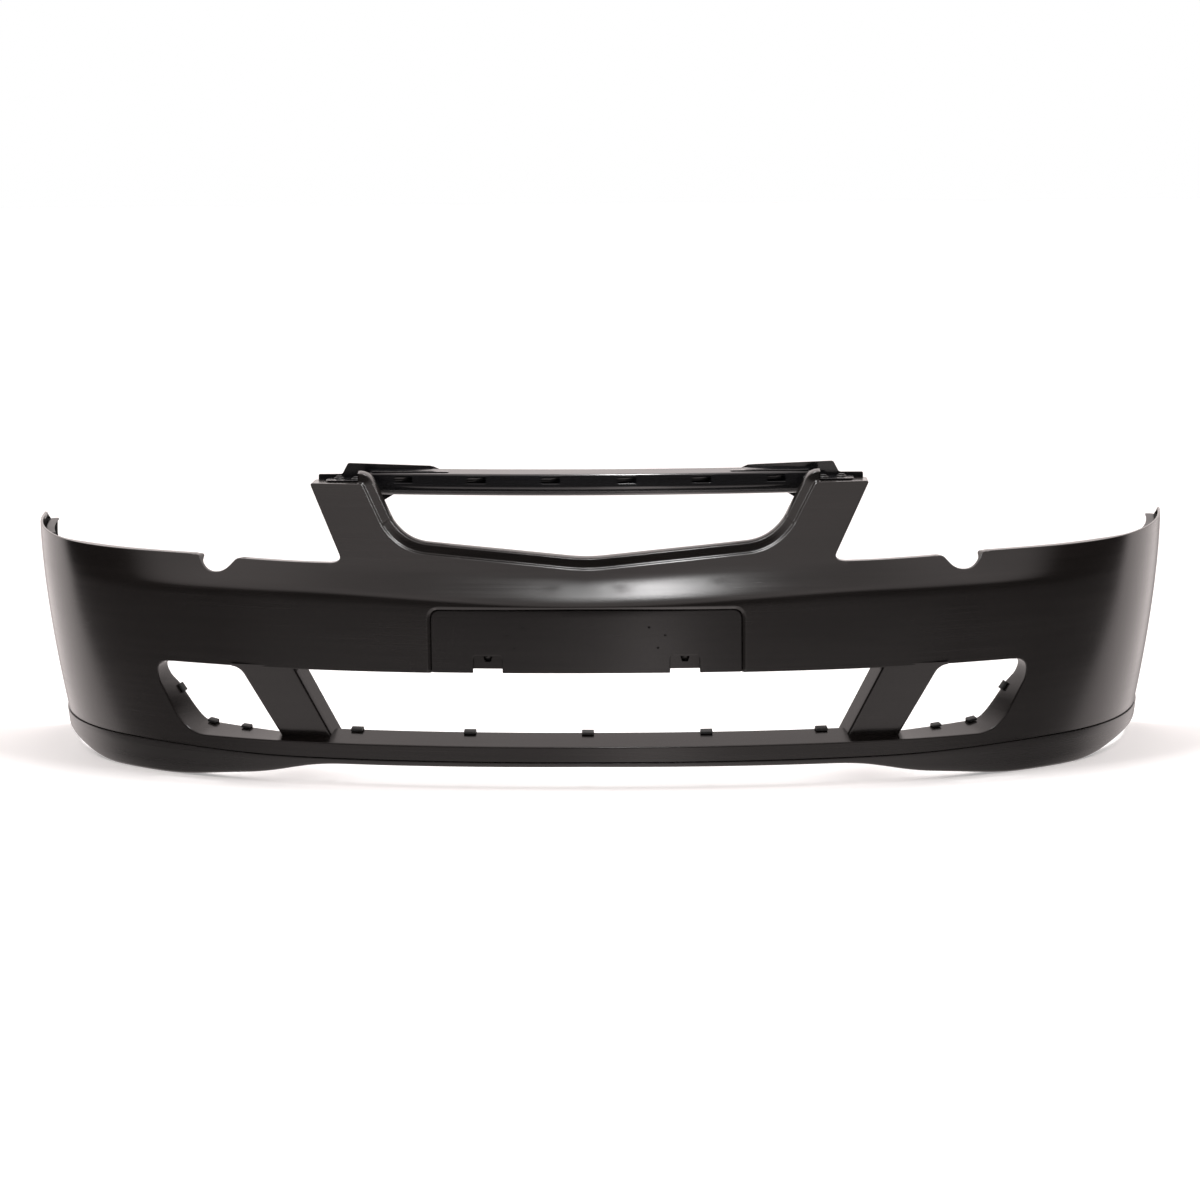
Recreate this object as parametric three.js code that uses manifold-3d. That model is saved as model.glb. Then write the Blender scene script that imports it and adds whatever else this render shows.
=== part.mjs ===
// Front bumper cover of a large saloon car, as sold ready to paint: a thin moulded fascia that wraps round
// to both wheel arches, with the pieces that clip and screw to it. The fascia has an upper grille opening
// between two posts, and one long lower opening that two slanted pillars split into a grille and two fog
// lamp openings. Millimetres, +Z up, the cover faces -Y, and it stands on the flat bottom of its lip.
import * as THREE from "three";
import { mergeVertices } from "three/addons/utils/BufferGeometryUtils.js";
import Module from "manifold-3d";

const wasm = await Module();
wasm.setup();

// ---- driving dimensions ------------------------------------------------------------------------------
const WALL = 3; // moulded wall thickness
const GAP = 0.4; // between pieces that touch

const PLAN = { halfWidth: 893, wrap: 850, power: 2.2 }; // plan curve at the seam with the lip
const ARCH = { y: 885, z: 172, radius: 370, flange: 20 }; // wheel arch circle in side view
const SEAM = { z: 42, rise: 8, from: 450, to: 750, flange: 22 }; // seam height, and its rise to the corners
const NOSE = { z: 280, rise: 18, over: 450, proud: 8 }; // most forward line of the front
const FACE_TUCK = 12; // how far the face under the nose leans back
const SHELF = { top: 316, rise: 21, over: 390 }; // line where the nose shelf meets the grille surround
const SURROUND = { set: 30, lean: 0.65 }; // surround and posts: set back, and lean back per mm of height
const TOP_EDGE = { rise: 22, from: 400, over: 500, power: 1.8, flange: 16, wingFlange: 4 };
const CORNER = { rise: 3, from: 330, to: 545, radius: 11 }; // the wing's top edge climbs to the wheel arch
const WING = { lean: 36, z0: 50, z1: 350, power: 1.6 }; // wings flare outwards with height
const BLEND = { from: 560, to: 800 }; // the front section turns into the wing section here

const LOWER = { bottom: 66, top: 179 }; // long opening under the face
const FUNNEL = { depth: 42, inset: 15 }; // walls round the openings run back and inwards
const PLATE = { half: 232, bottom: 179, top: 274, corner: 14, set: 3, chamfer: 5, rebate: 8.5 };
const PLATE_NOTCH = { x: 147, half: 22, height: 27, radius: 10 };
const PLATE_TAB = { bottom: 190, top: 210 };
const PILLAR = { topIn: 444, topOut: 530, lowIn: 388, lowOut: 467, topSet: 3, lowSet: 23 };
const LIP = { proud: 2.5, wall: 2.2, flange: 20, screwBack: 12 };
const LIP_EDGE = [[0, 36], [400, 34], [440, 28], [490, 16], [560, 9], [630, 0], [775, 0], [810, 12], [870, 27]];
const POST = { tipOut: 427, tipIn: 344, tipZ: 449, rootX: 375, rootZ: 352, ledgeIn: 340, ledgeBack: 203 };
const GRILLE = { z: 328, slope: 0.0935, cornerFrom: 240, cornerX: 312, cornerZ: 391, endX: 350, endZ: 445 };
const RABBET = { step: 6, land: 15, inner: 18, depth: 26 };
const CARRIER = { y: 150, bow: 25, half: 338, low: 427, fold: 438, high: 460, deep: 34, endY: 206 };
const POCKET = { first: 58, pitch: 114, width: 28, low: 446, high: 456.5, depth: 11, wall: 2.5 };
const RIVET = { hole: 4.1, shank: 3.7, head: 8, headHeight: 1.6, bore: 2.4, length: 10, pin: 2, pinHead: 5 };
const RIVETS = [[358, 176], [386, 188]]; // x and y on the right post
const SCREW = { hole: 2.8, shank: 2.2, head: 5.5, headHeight: 3, length: 9 };
const LIP_SCREWS = [0, 250, 500, 735]; // x
const RETAINER = { from: 400, low: 300, step: 328, below: 12, inset: 8, foldBack: 22 };
const RETAINER_SCREWS = [320, 337]; // z
const CLIP = { width: 18, fogWidth: 14, reach: 9, leg: 1.8, upperLeg: 3.6, back: 2, slack: 1 };
const SHELF_CLIPS = [-351, -178, 0, 178, 351]; // x
const FOG_CLIPS = [5, 8, 12]; // lengths of a fog lamp opening's edge

// ---- small helpers -----------------------------------------------------------------------------------
const V = (x, y, z) => new THREE.Vector3(x, y, z);
const { abs, acos, asin, cos, hypot, max, min, PI, sign, sin, sqrt } = Math;

// Smooth step from 0 at a to 1 at b.
const ease = (a, b, x) => THREE.MathUtils.smoothstep(x, a, b);

// Evenly spaced numbers from a to b, in a given number of steps, or about step apart.
const divided = (a, b, count) => Array.from({ length: count + 1 }, (_, i) => a + ((b - a) * i) / count);
const spaced = (a, b, step) => divided(a, b, max(1, Math.round(abs(b - a) / step)));

// Lower of two slopes, with the corner between them rounded.
function softMin(a, b, round) {
  const low = min(a, b);
  return low - round * Math.log(Math.exp((low - a) / round) + Math.exp((low - b) / round));
}

// ---- the cover's outer surface -----------------------------------------------------------------------
// Point of the plan curve at angle t: 0 at the nose, about 1.4 at a wheel arch.
function plan(t) {
  const x = PLAN.halfWidth * abs(sin(t)) ** (2 / PLAN.power);
  return new THREE.Vector2(sign(t) * x, PLAN.wrap * (1 - sqrt(cos(t))));
}

// Outward normal of the plan curve at angle t.
function outward(t) {
  if (abs(t) < 0.002) return new THREE.Vector2(0, -1);
  const step = plan(t + 1e-4).sub(plan(t - 1e-4)).normalize();
  return new THREE.Vector2(step.y, -step.x);
}

const angleAtX = (x) => sign(x) * asin(min(1, abs(x) / PLAN.halfWidth) ** (PLAN.power / 2));
const angleAtY = (y) => acos((1 - y / PLAN.wrap) ** 2);
const archY = (z) => ARCH.y - sqrt(ARCH.radius ** 2 - (z - ARCH.z) ** 2);
const archAngle = (z) => angleAtY(archY(z));

const seamZ = (x) => SEAM.z + SEAM.rise * ease(SEAM.from, SEAM.to, abs(x));
const noseZ = (x) => NOSE.z + NOSE.rise * ease(0, NOSE.over, abs(x));
const shelfTopZ = (x) => SHELF.top + SHELF.rise * min(1, abs(x) / SHELF.over);
function topEdgeZ(x) {
  const along = max(0, abs(x) - TOP_EDGE.from) / TOP_EDGE.over;
  return shelfTopZ(x) + TOP_EDGE.rise * along ** TOP_EDGE.power;
}

// Value at x on a line through [x, value] points.
function onLine(points, x) {
  const i = max(1, points.findIndex(([px]) => px >= x));
  const [x0, v0] = points[i - 1];
  const [x1, v1] = points[i];
  return v0 + ((v1 - v0) * min(x - x0, x1 - x0)) / (x1 - x0);
}

// How far the surface stands out from the plan curve at height z.
function standOut(x, z) {
  const nose = noseZ(x);
  const face = NOSE.proud - FACE_TUCK * (max(0, nose - z) / 238) ** 1.6;
  const shelf = NOSE.proud - (z - nose);
  const height = THREE.MathUtils.clamp(z, WING.z0, WING.z1);
  const wing = WING.lean * (1 - ((WING.z1 - height) / (WING.z1 - WING.z0)) ** WING.power);
  return THREE.MathUtils.lerp(softMin(face, shelf, 3), wing, ease(BLEND.from, BLEND.to, abs(x)));
}

// Point n mm outside the plan curve at angle t and height z.
function beside(t, n, z) {
  const p = plan(t).addScaledVector(outward(t), n);
  return V(p.x, p.y, z);
}

// y of the outer surface where it is seen at x, z from the front.
function surfaceY(x, z) {
  let t = angleAtX(x);
  for (let i = 0; i < 4; i++) t = angleAtX(x - outward(t).x * standOut(x, z));
  return beside(t, standOut(x, z), z).y;
}
const onFront = (x, z, depth = 0) => V(x, surfaceY(x, z) + depth, z);

// y of the grille surround and posts at x, z.
const surroundY = (x, z) =>
  plan(angleAtX(x)).y + SURROUND.set + SURROUND.lean * (z - shelfTopZ(x));
const onSurround = (x, z, depth = 0) => V(x, surroundY(x, z) + depth, z);

// ---- making solids -----------------------------------------------------------------------------------
// A closed wall: each station is a list of [outer, inner] point pairs across the wall's run.
function wall(stations) {
  const pairs = stations[0].length;
  const position = stations.flat(2).flatMap((p) => [p.x, p.y, p.z]);
  const index = [];
  const id = (i, j, side) => (i * pairs + j) * 2 + side;
  const quad = (a, b, c, d) => index.push(a, b, c, a, c, d);
  for (let i = 0; i + 1 < stations.length; i++) {
    for (let j = 0; j + 1 < pairs; j++) {
      quad(id(i, j, 0), id(i + 1, j, 0), id(i + 1, j + 1, 0), id(i, j + 1, 0));
      quad(id(i, j, 1), id(i, j + 1, 1), id(i + 1, j + 1, 1), id(i + 1, j, 1));
    }
    quad(id(i, 0, 0), id(i, 0, 1), id(i + 1, 0, 1), id(i + 1, 0, 0));
    const k = pairs - 1;
    quad(id(i, k, 0), id(i + 1, k, 0), id(i + 1, k, 1), id(i, k, 1));
  }
  const last = stations.length - 1;
  for (let j = 0; j + 1 < pairs; j++) {
    quad(id(0, j, 0), id(0, j + 1, 0), id(0, j + 1, 1), id(0, j, 1));
    quad(id(last, j, 0), id(last, j, 1), id(last, j + 1, 1), id(last, j + 1, 0));
  }
  const geometry = new THREE.BufferGeometry();
  geometry.setAttribute("position", new THREE.Float32BufferAttribute(position, 3));
  geometry.setIndex(index);
  return solid(geometry);
}

// A three.js geometry as a manifold solid, turned to face outwards.
function solid(geometry) {
  const bare = new THREE.BufferGeometry();
  const source = geometry.index ? geometry.toNonIndexed() : geometry;
  bare.setAttribute("position", source.getAttribute("position"));
  const merged = mergeVertices(bare, 1e-3);
  const triVerts = Uint32Array.from(merged.index.array);
  const vertProperties = Float32Array.from(merged.attributes.position.array);
  const made = new wasm.Manifold(new wasm.Mesh({ numProp: 3, vertProperties, triVerts }));
  if (made.volume() > 0) return made;
  for (let i = 0; i < triVerts.length; i += 3) {
    [triVerts[i + 1], triVerts[i + 2]] = [triVerts[i + 2], triVerts[i + 1]];
  }
  return new wasm.Manifold(new wasm.Mesh({ numProp: 3, vertProperties, triVerts }));
}

function geometryOf(made) {
  const mesh = made.getMesh();
  const geometry = new THREE.BufferGeometry();
  geometry.setAttribute("position", new THREE.Float32BufferAttribute(mesh.vertProperties, 3));
  geometry.setIndex(new THREE.BufferAttribute(mesh.triVerts, 1));
  return geometry;
}

const join = (solids) => solids.reduce((a, b) => a.add(b));

// Everything behind a front-view outline (a Shape in x and z), from y0 to y1.
function prism(shape, y0, y1, curveSegments = 6) {
  const geometry = new THREE.ExtrudeGeometry(shape, { depth: y1 - y0, bevelEnabled: false, curveSegments });
  geometry.rotateX(PI / 2); // shape's y becomes z, and the depth runs to -Y
  geometry.translate(0, y1, 0);
  return solid(geometry);
}

function box(x0, x1, y0, y1, z0, z1) {
  const geometry = new THREE.BoxGeometry(x1 - x0, y1 - y0, z1 - z0);
  geometry.translate((x0 + x1) / 2, (y0 + y1) / 2, (z0 + z1) / 2);
  return solid(geometry);
}

// A turned piece: profile points are [radius, height] along the axis that starts at a point.
function turned(profile, at, axis = V(0, 0, 1), segments = 10) {
  const points = profile.map(([r, h]) => new THREE.Vector2(r, h));
  const geometry = new THREE.LatheGeometry(points, segments);
  geometry.applyQuaternion(new THREE.Quaternion().setFromUnitVectors(V(0, 1, 0), axis));
  geometry.translate(at.x, at.y, at.z);
  return solid(geometry);
}
const bore = (radius, at, axis, reach = 15) =>
  turned([[0, -reach], [radius, -reach], [radius, reach], [0, reach]], at, axis, 8);

// A flat plate at height z, from an outline in x and y.
function plate(outline, z, thick) {
  const shape = new THREE.Shape(outline.map(([x, y]) => new THREE.Vector2(x, y)));
  const geometry = new THREE.ExtrudeGeometry(shape, { depth: thick, bevelEnabled: false });
  geometry.translate(0, 0, z);
  return solid(geometry);
}

const mirrored = (made) => made.mirror([1, 0, 0]);
const bothSides = (made) => made.add(mirrored(made));

// Unit vector across a front-view path at point i, to the left of its direction.
function across(path, i) {
  const a = path[max(0, i - 1)];
  const b = path[min(path.length - 1, i + 1)];
  const length = hypot(b.x - a.x, b.y - a.y);
  return new THREE.Vector2(-(b.y - a.y) / length, (b.x - a.x) / length);
}

// A wall along a front-view path: section points are [across, depth] pairs for its two faces. Depth is
// taken from the surface at the path, or at each point itself where it follows the surface.
function ribbon(path, surface, section, follow = false) {
  return wall(
    path.map((p, i) => {
      const side = across(path, i);
      const place = ([m, depth]) => {
        const [x, z] = [p.x + side.x * m, p.y + side.y * m];
        const at = follow ? surface(x, z, depth) : surface(p.x, p.y, depth);
        return V(x, at.y, z);
      };
      return section.map(([front, back]) => [place(front), place(back)]);
    }),
  );
}

// ---- stations along the cover ------------------------------------------------------------------------
// Fractions of the arch angle from -1 to 1: wide apart over the front, closer round the corners.
const HALF_WAY = [...divided(0, 0.44, 7), ...divided(0.44, 0.97, 15).slice(1), 0.99, 0.996, 1];
const FRACTIONS = [...HALF_WAY.slice(1).map((f) => -f).reverse(), ...HALF_WAY];

// Point a fraction of the way round to the wheel arch, n mm outside the plan curve.
const wayRound = (f, n, z) => beside(f * archAngle(z), n, z);

// Height of the top edge a fraction of the way round, with its climb and rounded corner at the arch.
function topZ(f) {
  const { x, y } = plan(f * archAngle(WING.z1));
  const past = max(0, (abs(f) - 0.99) / 0.01) * CORNER.radius;
  const drop = CORNER.radius - sqrt(max(0, CORNER.radius ** 2 - past ** 2));
  return topEdgeZ(x) + CORNER.rise * ease(CORNER.from, CORNER.to, y) - drop;
}

// ---- fascia ------------------------------------------------------------------------------------------
// Wall from the seam flange up over the nose to the top edge's flange.
function bodyWall() {
  return wall(
    FRACTIONS.map((f) => {
      const x = plan(f * archAngle(ARCH.z)).x;
      const [low, nose, high] = [seamZ(x) + GAP, noseZ(x), topZ(f)];
      const out = (z) => standOut(x, z);
      const wingward = ease(780, 850, abs(x));
      const topFlange = THREE.MathUtils.lerp(TOP_EDGE.flange, TOP_EDGE.wingFlange, wingward);
      const heights = [...divided(low, nose - 8, 4), nose - 3, nose + 2, ...divided(nose + 8, high, 2)];
      const pairs = heights.map((z, i) => {
        const ends = { 0: z + WALL, [heights.length - 1]: z - WALL };
        return [wayRound(f, out(z), z), wayRound(f, out(z) - WALL, ends[i] ?? z)];
      });
      const lowEnd = out(low) - SEAM.flange;
      const highEnd = out(high) - WALL - (abs(x) < SHELF.over ? 2 : topFlange);
      return [
        [wayRound(f, lowEnd, low), wayRound(f, lowEnd, low + WALL)],
        ...pairs,
        [wayRound(f, highEnd, high), wayRound(f, highEnd, high - WALL)],
      ];
    }),
  );
}

// Half outline of the long lower opening, from the middle of its bottom round to the middle of its top.
function lowerOutline(path, start) {
  path.moveTo(start, LOWER.bottom);
  path.lineTo(590, LOWER.bottom);
  path.quadraticCurveTo(624, LOWER.bottom, 647, 107);
  path.lineTo(664, 146);
  path.quadraticCurveTo(671, LOWER.top - 2, 652, LOWER.top);
  return path;
}

// Mirrors a half shape that starts and ends at x = 0 into a whole one.
function wholeShape(half) {
  const right = half.getPoints(5);
  const left = right.map((p) => new THREE.Vector2(-p.x, p.y)).reverse();
  const apart = (p, i, all) => i === 0 || p.distanceTo(all[i - 1]) > 0.01;
  return new THREE.Shape([...right, ...left].filter(apart));
}

// A wall that starts on a front-view path just inside the outer surface, and runs back to a second path.
function returnWall(front, rear, depth) {
  return wall(
    front.map((p, i) => {
      const side = across(front, i).multiplyScalar(WALL);
      const r = rear[i];
      const y = surfaceY(p.x, p.y) + depth;
      return [
        [onFront(p.x, p.y, 0.6), onFront(p.x - side.x, p.y - side.y, 2)],
        [V(r.x, y, r.y), V(r.x - side.x, y, r.y - side.y)],
      ];
    }),
  );
}

// Rear edge of a fog lamp opening's wall, which also carries its clips.
function fogRearPath() {
  const path = new THREE.Path();
  path.moveTo(425, 70);
  path.lineTo(578, 79);
  path.quadraticCurveTo(602, 84, 622, 112);
  path.lineTo(648, 150);
  path.quadraticCurveTo(656, 174, 640, LOWER.top);
  return path;
}
const FOG_STEPS = 16;
const fogFront = () => lowerOutline(new THREE.Path(), 425).getSpacedPoints(FOG_STEPS);
const fogRear = () => fogRearPath().getSpacedPoints(FOG_STEPS);

const shelfXs = divided(-430, 430, 19);

// Walls of the lower opening: a shelf between the pillars, a funnel round each fog lamp, and a top flange.
function lowerWalls() {
  const shelf = returnWall(
    shelfXs.map((x) => new THREE.Vector2(x, LOWER.bottom)),
    shelfXs.map((x) => new THREE.Vector2(x, LOWER.bottom + FUNNEL.inset)),
    FUNNEL.depth,
  );
  const fog = returnWall(fogFront(), fogRear(), FUNNEL.depth - 4);
  const top = wall(
    divided(PLATE.half + 3, 648, 8).map((x) => [
      [onFront(x, LOWER.top + 0.2, 0.6), onFront(x, LOWER.top + WALL, 0.6)],
      [onFront(x, LOWER.top + 0.2, 22), onFront(x, LOWER.top + WALL, 22)],
    ]),
  );
  return join([shelf, bothSides(fog), bothSides(top)]);
}

// A slanted pillar: a front plate that leans back to its foot, with a side wall at each edge.
function pillar() {
  return wall(
    divided(69, LOWER.top + 1.5, 4).map((z) => {
      const up = (z - LOWER.bottom) / (LOWER.top - LOWER.bottom);
      const inX = THREE.MathUtils.lerp(PILLAR.lowIn, PILLAR.topIn, up);
      const outX = THREE.MathUtils.lerp(PILLAR.lowOut, PILLAR.topOut, up);
      const set = THREE.MathUtils.lerp(PILLAR.lowSet, PILLAR.topSet, up);
      const at = (x, depth) => V(x, surfaceY(inX, z) + depth + (x - inX) * 0.24, z);
      return [
        [at(inX - FUNNEL.inset, set + 36), at(inX - FUNNEL.inset + WALL, set + 36)],
        [at(inX, set), at(inX + WALL, set + WALL)],
        [at(outX, set), at(outX - WALL, set + WALL)],
        [at(outX, set + 22), at(outX - WALL, set + 22)],
      ];
    }),
  );
}

const plateXs = divided(PLATE.corner - PLATE.half, PLATE.half - PLATE.corner, 6);

// Outline of the number plate aperture grown by a margin, down to a bottom line.
function plateShape(grow, bottom) {
  const half = PLATE.half + grow;
  const top = PLATE.top + grow;
  const r = PLATE.corner + grow;
  const shape = new THREE.Shape();
  shape.moveTo(-half, bottom);
  shape.lineTo(half, bottom);
  shape.lineTo(half, top - r);
  shape.quadraticCurveTo(half, top, half - r, top);
  shape.lineTo(-half + r, top);
  shape.quadraticCurveTo(-half, top, -half, top - r);
  shape.closePath();
  return shape;
}

// The aperture's edge: a chamfer, a short wall, and a ledge that the panel lies on.
function plateLedge() {
  const { half, bottom, top, corner, chamfer, rebate, set } = PLATE;
  const edge = new THREE.Path();
  edge.moveTo(-half, bottom);
  edge.lineTo(-half, top - corner);
  edge.quadraticCurveTo(-half, top, -half + corner, top);
  const left = edge.getPoints(4);
  const middle = plateXs.map((x) => new THREE.Vector2(x, top));
  const right = left.map((p) => new THREE.Vector2(-p.x, p.y)).reverse();
  return ribbon([...left, ...middle.slice(1, -1), ...right], onFront, [
    [[chamfer + 0.6, 0.4], [chamfer + 1, WALL - 0.4]],
    [[0, set + 1], [WALL, set + WALL]],
    [[0, rebate], [WALL, rebate + WALL]],
    [[-14, rebate], [-14, rebate + WALL]],
  ], true);
}

// Strip behind the panel's lower edge, with the two slots for the lower grille's hooks.
function plateStrip() {
  const { bottom, top } = PLATE_TAB;
  const strip = wall(
    [-PLATE.half - 1, ...plateXs, PLATE.half + 1].map((x) => [
      [onFront(x, bottom, 24), onFront(x, bottom + WALL, 24)],
      [onFront(x, bottom, PLATE.rebate), onFront(x, bottom + WALL, PLATE.rebate + WALL)],
      [onFront(x, top, PLATE.rebate), onFront(x, top, PLATE.rebate + WALL)],
    ]),
  );
  const slot = new THREE.Shape();
  slot.moveTo(PLATE_NOTCH.x - 6.5, 204);
  slot.lineTo(PLATE_NOTCH.x - 4, 196);
  slot.lineTo(PLATE_NOTCH.x + 4, 196);
  slot.lineTo(PLATE_NOTCH.x + 6.5, 204);
  return strip.subtract(bothSides(prism(slot, -50, 60)));
}

// Half outline of the grille surround and a post, from the middle of its foot to the middle of its top.
function surroundOutline() {
  const foot = shelfTopZ(SHELF.over);
  const shape = new THREE.Shape();
  shape.moveTo(0, SHELF.top - 8);
  shape.lineTo(SHELF.over, foot - 8);
  shape.lineTo(405, foot - 7);
  shape.lineTo(405, foot - 0.6);
  shape.lineTo(393, foot - 0.3);
  shape.quadraticCurveTo(368, foot + 0.5, POST.rootX, POST.rootZ);
  shape.lineTo(POST.tipOut, POST.tipZ);
  shape.lineTo(POST.tipIn, POST.tipZ);
  return addGrilleLine(shape);
}

// The grille opening's outer line, from a post's tip down to the middle.
function addGrilleLine(path) {
  path.lineTo(GRILLE.endX, GRILLE.endZ);
  path.lineTo(GRILLE.cornerX, GRILLE.cornerZ);
  path.quadraticCurveTo(285, 354, GRILLE.cornerFrom, GRILLE.z + GRILLE.slope * GRILLE.cornerFrom);
  path.lineTo(110, GRILLE.z + GRILLE.slope * 110);
  path.lineTo(0, GRILLE.z);
  return path;
}

// Face of the surround and posts, with the stepped edge that the grille sits in.
function surround() {
  const zs = [308, 380, POST.tipZ + 3];
  const stations = divided(-435, 435, 12).map((x) =>
    zs.map((z) => [onSurround(x, z, 0), onSurround(x, z, WALL)]),
  );
  const face = wall(stations).intersect(prism(wholeShape(surroundOutline()), -100, 400));

  const line = new THREE.Path();
  line.moveTo(POST.tipIn + 3, POST.tipZ - 1.5);
  const half = addGrilleLine(line).getPoints(6);
  const path = [...half, ...half.slice(0, -1).reverse().map((p) => new THREE.Vector2(-p.x, p.y))];
  const { step, land, inner, depth } = RABBET;
  const rabbet = ribbon(path, onSurround, [
    [[0.5, 0.5], [2, WALL - 0.4]],
    [[-2, step], [0.5, step + WALL]],
    [[-land, step + 2], [-land + WALL, step + 2 + WALL]],
    [[-inner, depth], [-inner + WALL, depth]],
  ]);
  return face.add(rabbet);
}

// Return flanges on a post: along its outer edge, and the ledge on top that carries the grille carrier.
function postFlanges() {
  const foot = shelfTopZ(SHELF.over);
  const { tipOut, tipIn, tipZ, rootX, rootZ, ledgeIn, ledgeBack } = POST;
  const edge = new THREE.Path();
  edge.moveTo(tipOut, tipZ);
  edge.lineTo(rootX, rootZ);
  edge.quadraticCurveTo(368, foot + 0.5, 393, foot - 0.3);
  const side = ribbon(edge.getPoints(5), onSurround, [
    [[-0.3, 0.6], [-WALL, 0.6]],
    [[-0.3, 16], [-WALL, 16]],
  ]);
  const ledge = plate(
    [
      [tipOut - 0.4, surroundY(tipOut, tipZ) + 0.6],
      [tipOut - 4, ledgeBack - 6],
      [tipOut - 12, ledgeBack],
      [ledgeIn, ledgeBack],
      [ledgeIn, surroundY(tipIn, tipZ) + 12],
      [tipIn + 2, surroundY(tipIn, tipZ) + 0.6],
    ],
    tipZ - WALL - 0.5,
    WALL,
  );
  const holes = RIVETS.map(([x, y]) => bore(RIVET.hole, V(x, y, tipZ)));
  return side.add(ledge).subtract(join(holes));
}

// Strip that runs up a wheel arch, between two distances inside the outer surface and d mm ahead of it.
function archStrip(zs, outer, inner, d, thick) {
  return wall(
    zs.map((z) => {
      const t = archAngle(z);
      const out = standOut(905, z);
      return [outer, inner].map((n) => {
        const p = beside(t, out - n, z);
        return [V(p.x, p.y - d, z), V(p.x, p.y - d - thick, z)];
      });
    }),
  );
}

// Point and axis of a fixing through the arch flange at height z.
function archFixing(z) {
  const t = archAngle(z);
  const lean = (z - ARCH.z) / sqrt(ARCH.radius ** 2 - (z - ARCH.z) ** 2);
  return { at: beside(t, standOut(905, z) - 12, z), axis: V(0, 1, -lean).normalize() };
}

// Flange that turns inwards along a wheel arch, with its liner and retainer holes.
function archFlange() {
  const top = topZ(1) - 0.5;
  const strip = archStrip(divided(SEAM.z + SEAM.rise + 0.7, top, 8), 0.5, ARCH.flange, 0.3, WALL);
  const holes = [110, 235, ...RETAINER_SCREWS].map((z) => {
    const { at, axis } = archFixing(z);
    return bore(SCREW.hole, at, axis);
  });
  return strip.subtract(join(holes));
}

// Half-round notch in the top edge beside each headlamp.
function headlampNotch() {
  const shape = new THREE.Shape();
  shape.moveTo(604, 370);
  shape.lineTo(598, 340);
  shape.quadraticCurveTo(588, 318, 571, 317);
  shape.quadraticCurveTo(556, 317, 547, 328);
  shape.lineTo(535, 341);
  shape.lineTo(530, 370);
  return prism(shape, 0, 260);
}

// Point on the seam flange at x for a lip screw.
function lipScrewAt(x, z) {
  const t = angleAtX(x);
  return beside(t, standOut(x, SEAM.z) - LIP.screwBack, z);
}
const lipScrewXs = [...LIP_SCREWS.slice(1).map((x) => -x).reverse(), ...LIP_SCREWS];
const lipScrewHoles = () => join(lipScrewXs.map((x) => bore(SCREW.hole, lipScrewAt(x, seamZ(x)), undefined, 7)));

function fascia() {
  const opening = prism(wholeShape(lowerOutline(new THREE.Shape(), 0).lineTo(0, LOWER.top)), -60, 200);
  const aperture = prism(plateShape(PLATE.chamfer, LOWER.top - 20), -60, 60);
  const cuts = [opening, aperture, bothSides(headlampNotch()), lipScrewHoles()];
  const shell = bodyWall().subtract(join(cuts));
  const sides = [pillar(), postFlanges(), archFlange()].map(bothSides);
  return join([shell, lowerWalls(), plateLedge(), plateStrip(), surround(), ...sides]);
}

// ---- pieces fixed to the fascia ----------------------------------------------------------------------
// Lower lip: a channel under the seam, deepest at the corners, where it stands on the ground.
function lowerLip() {
  const lip = wall(
    FRACTIONS.map((f) => {
      const x = plan(f * archAngle(SEAM.z)).x;
      const top = seamZ(x);
      const low = onLine(LIP_EDGE, abs(x));
      const out = standOut(x, SEAM.z);
      const at = (n, z) => wayRound(f, out + n, z);
      const lean = 0.12 * (top - low);
      const t = LIP.wall;
      return [
        [at(-LIP.flange, top), at(-LIP.flange, top - t)],
        [at(LIP.proud, top), at(LIP.proud - t, top - t)],
        [at(LIP.proud - lean, low), at(LIP.proud - lean - t, low + t)],
        [at(-LIP.flange - lean, low), at(-LIP.flange - lean, low + t)],
      ];
    }),
  );
  return lip.subtract(lipScrewHoles());
}

// Number plate panel: a shallow tray that fills the aperture, with two notches in its lower edge.
function platePanel() {
  const { half, set, rebate } = PLATE;
  const slab = (front, back) =>
    wall(
      [-half - 5, ...plateXs, half + 5].map((x) => {
        const zs = [PLATE.bottom - 5, 215, 256, 268, PLATE.top + 1];
        return zs.map((z) => [onFront(x, z, front), onFront(x, z, back)]);
      }),
    );
  const tray = slab(set, rebate - GAP).intersect(prism(plateShape(-0.6, PLATE.bottom + 0.3), -60, 60));
  const hollow = slab(set + 2.5, rebate + 5).intersect(prism(plateShape(-4, PLATE.bottom + 4), -60, 60));
  const { x, half: wide, height, radius } = PLATE_NOTCH;
  const top = PLATE.bottom + height;
  const notch = new THREE.Shape();
  notch.moveTo(x - wide - 1, PLATE.bottom - 5);
  notch.lineTo(x + wide + 1, PLATE.bottom - 5);
  notch.lineTo(x + wide, top - radius);
  notch.quadraticCurveTo(x + wide, top, x + wide - radius, top);
  notch.lineTo(x - wide + radius, top);
  notch.quadraticCurveTo(x - wide, top, x - wide, top - radius);
  return tray.subtract(hollow).subtract(bothSides(prism(notch, -60, 60, 4)));
}

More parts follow.
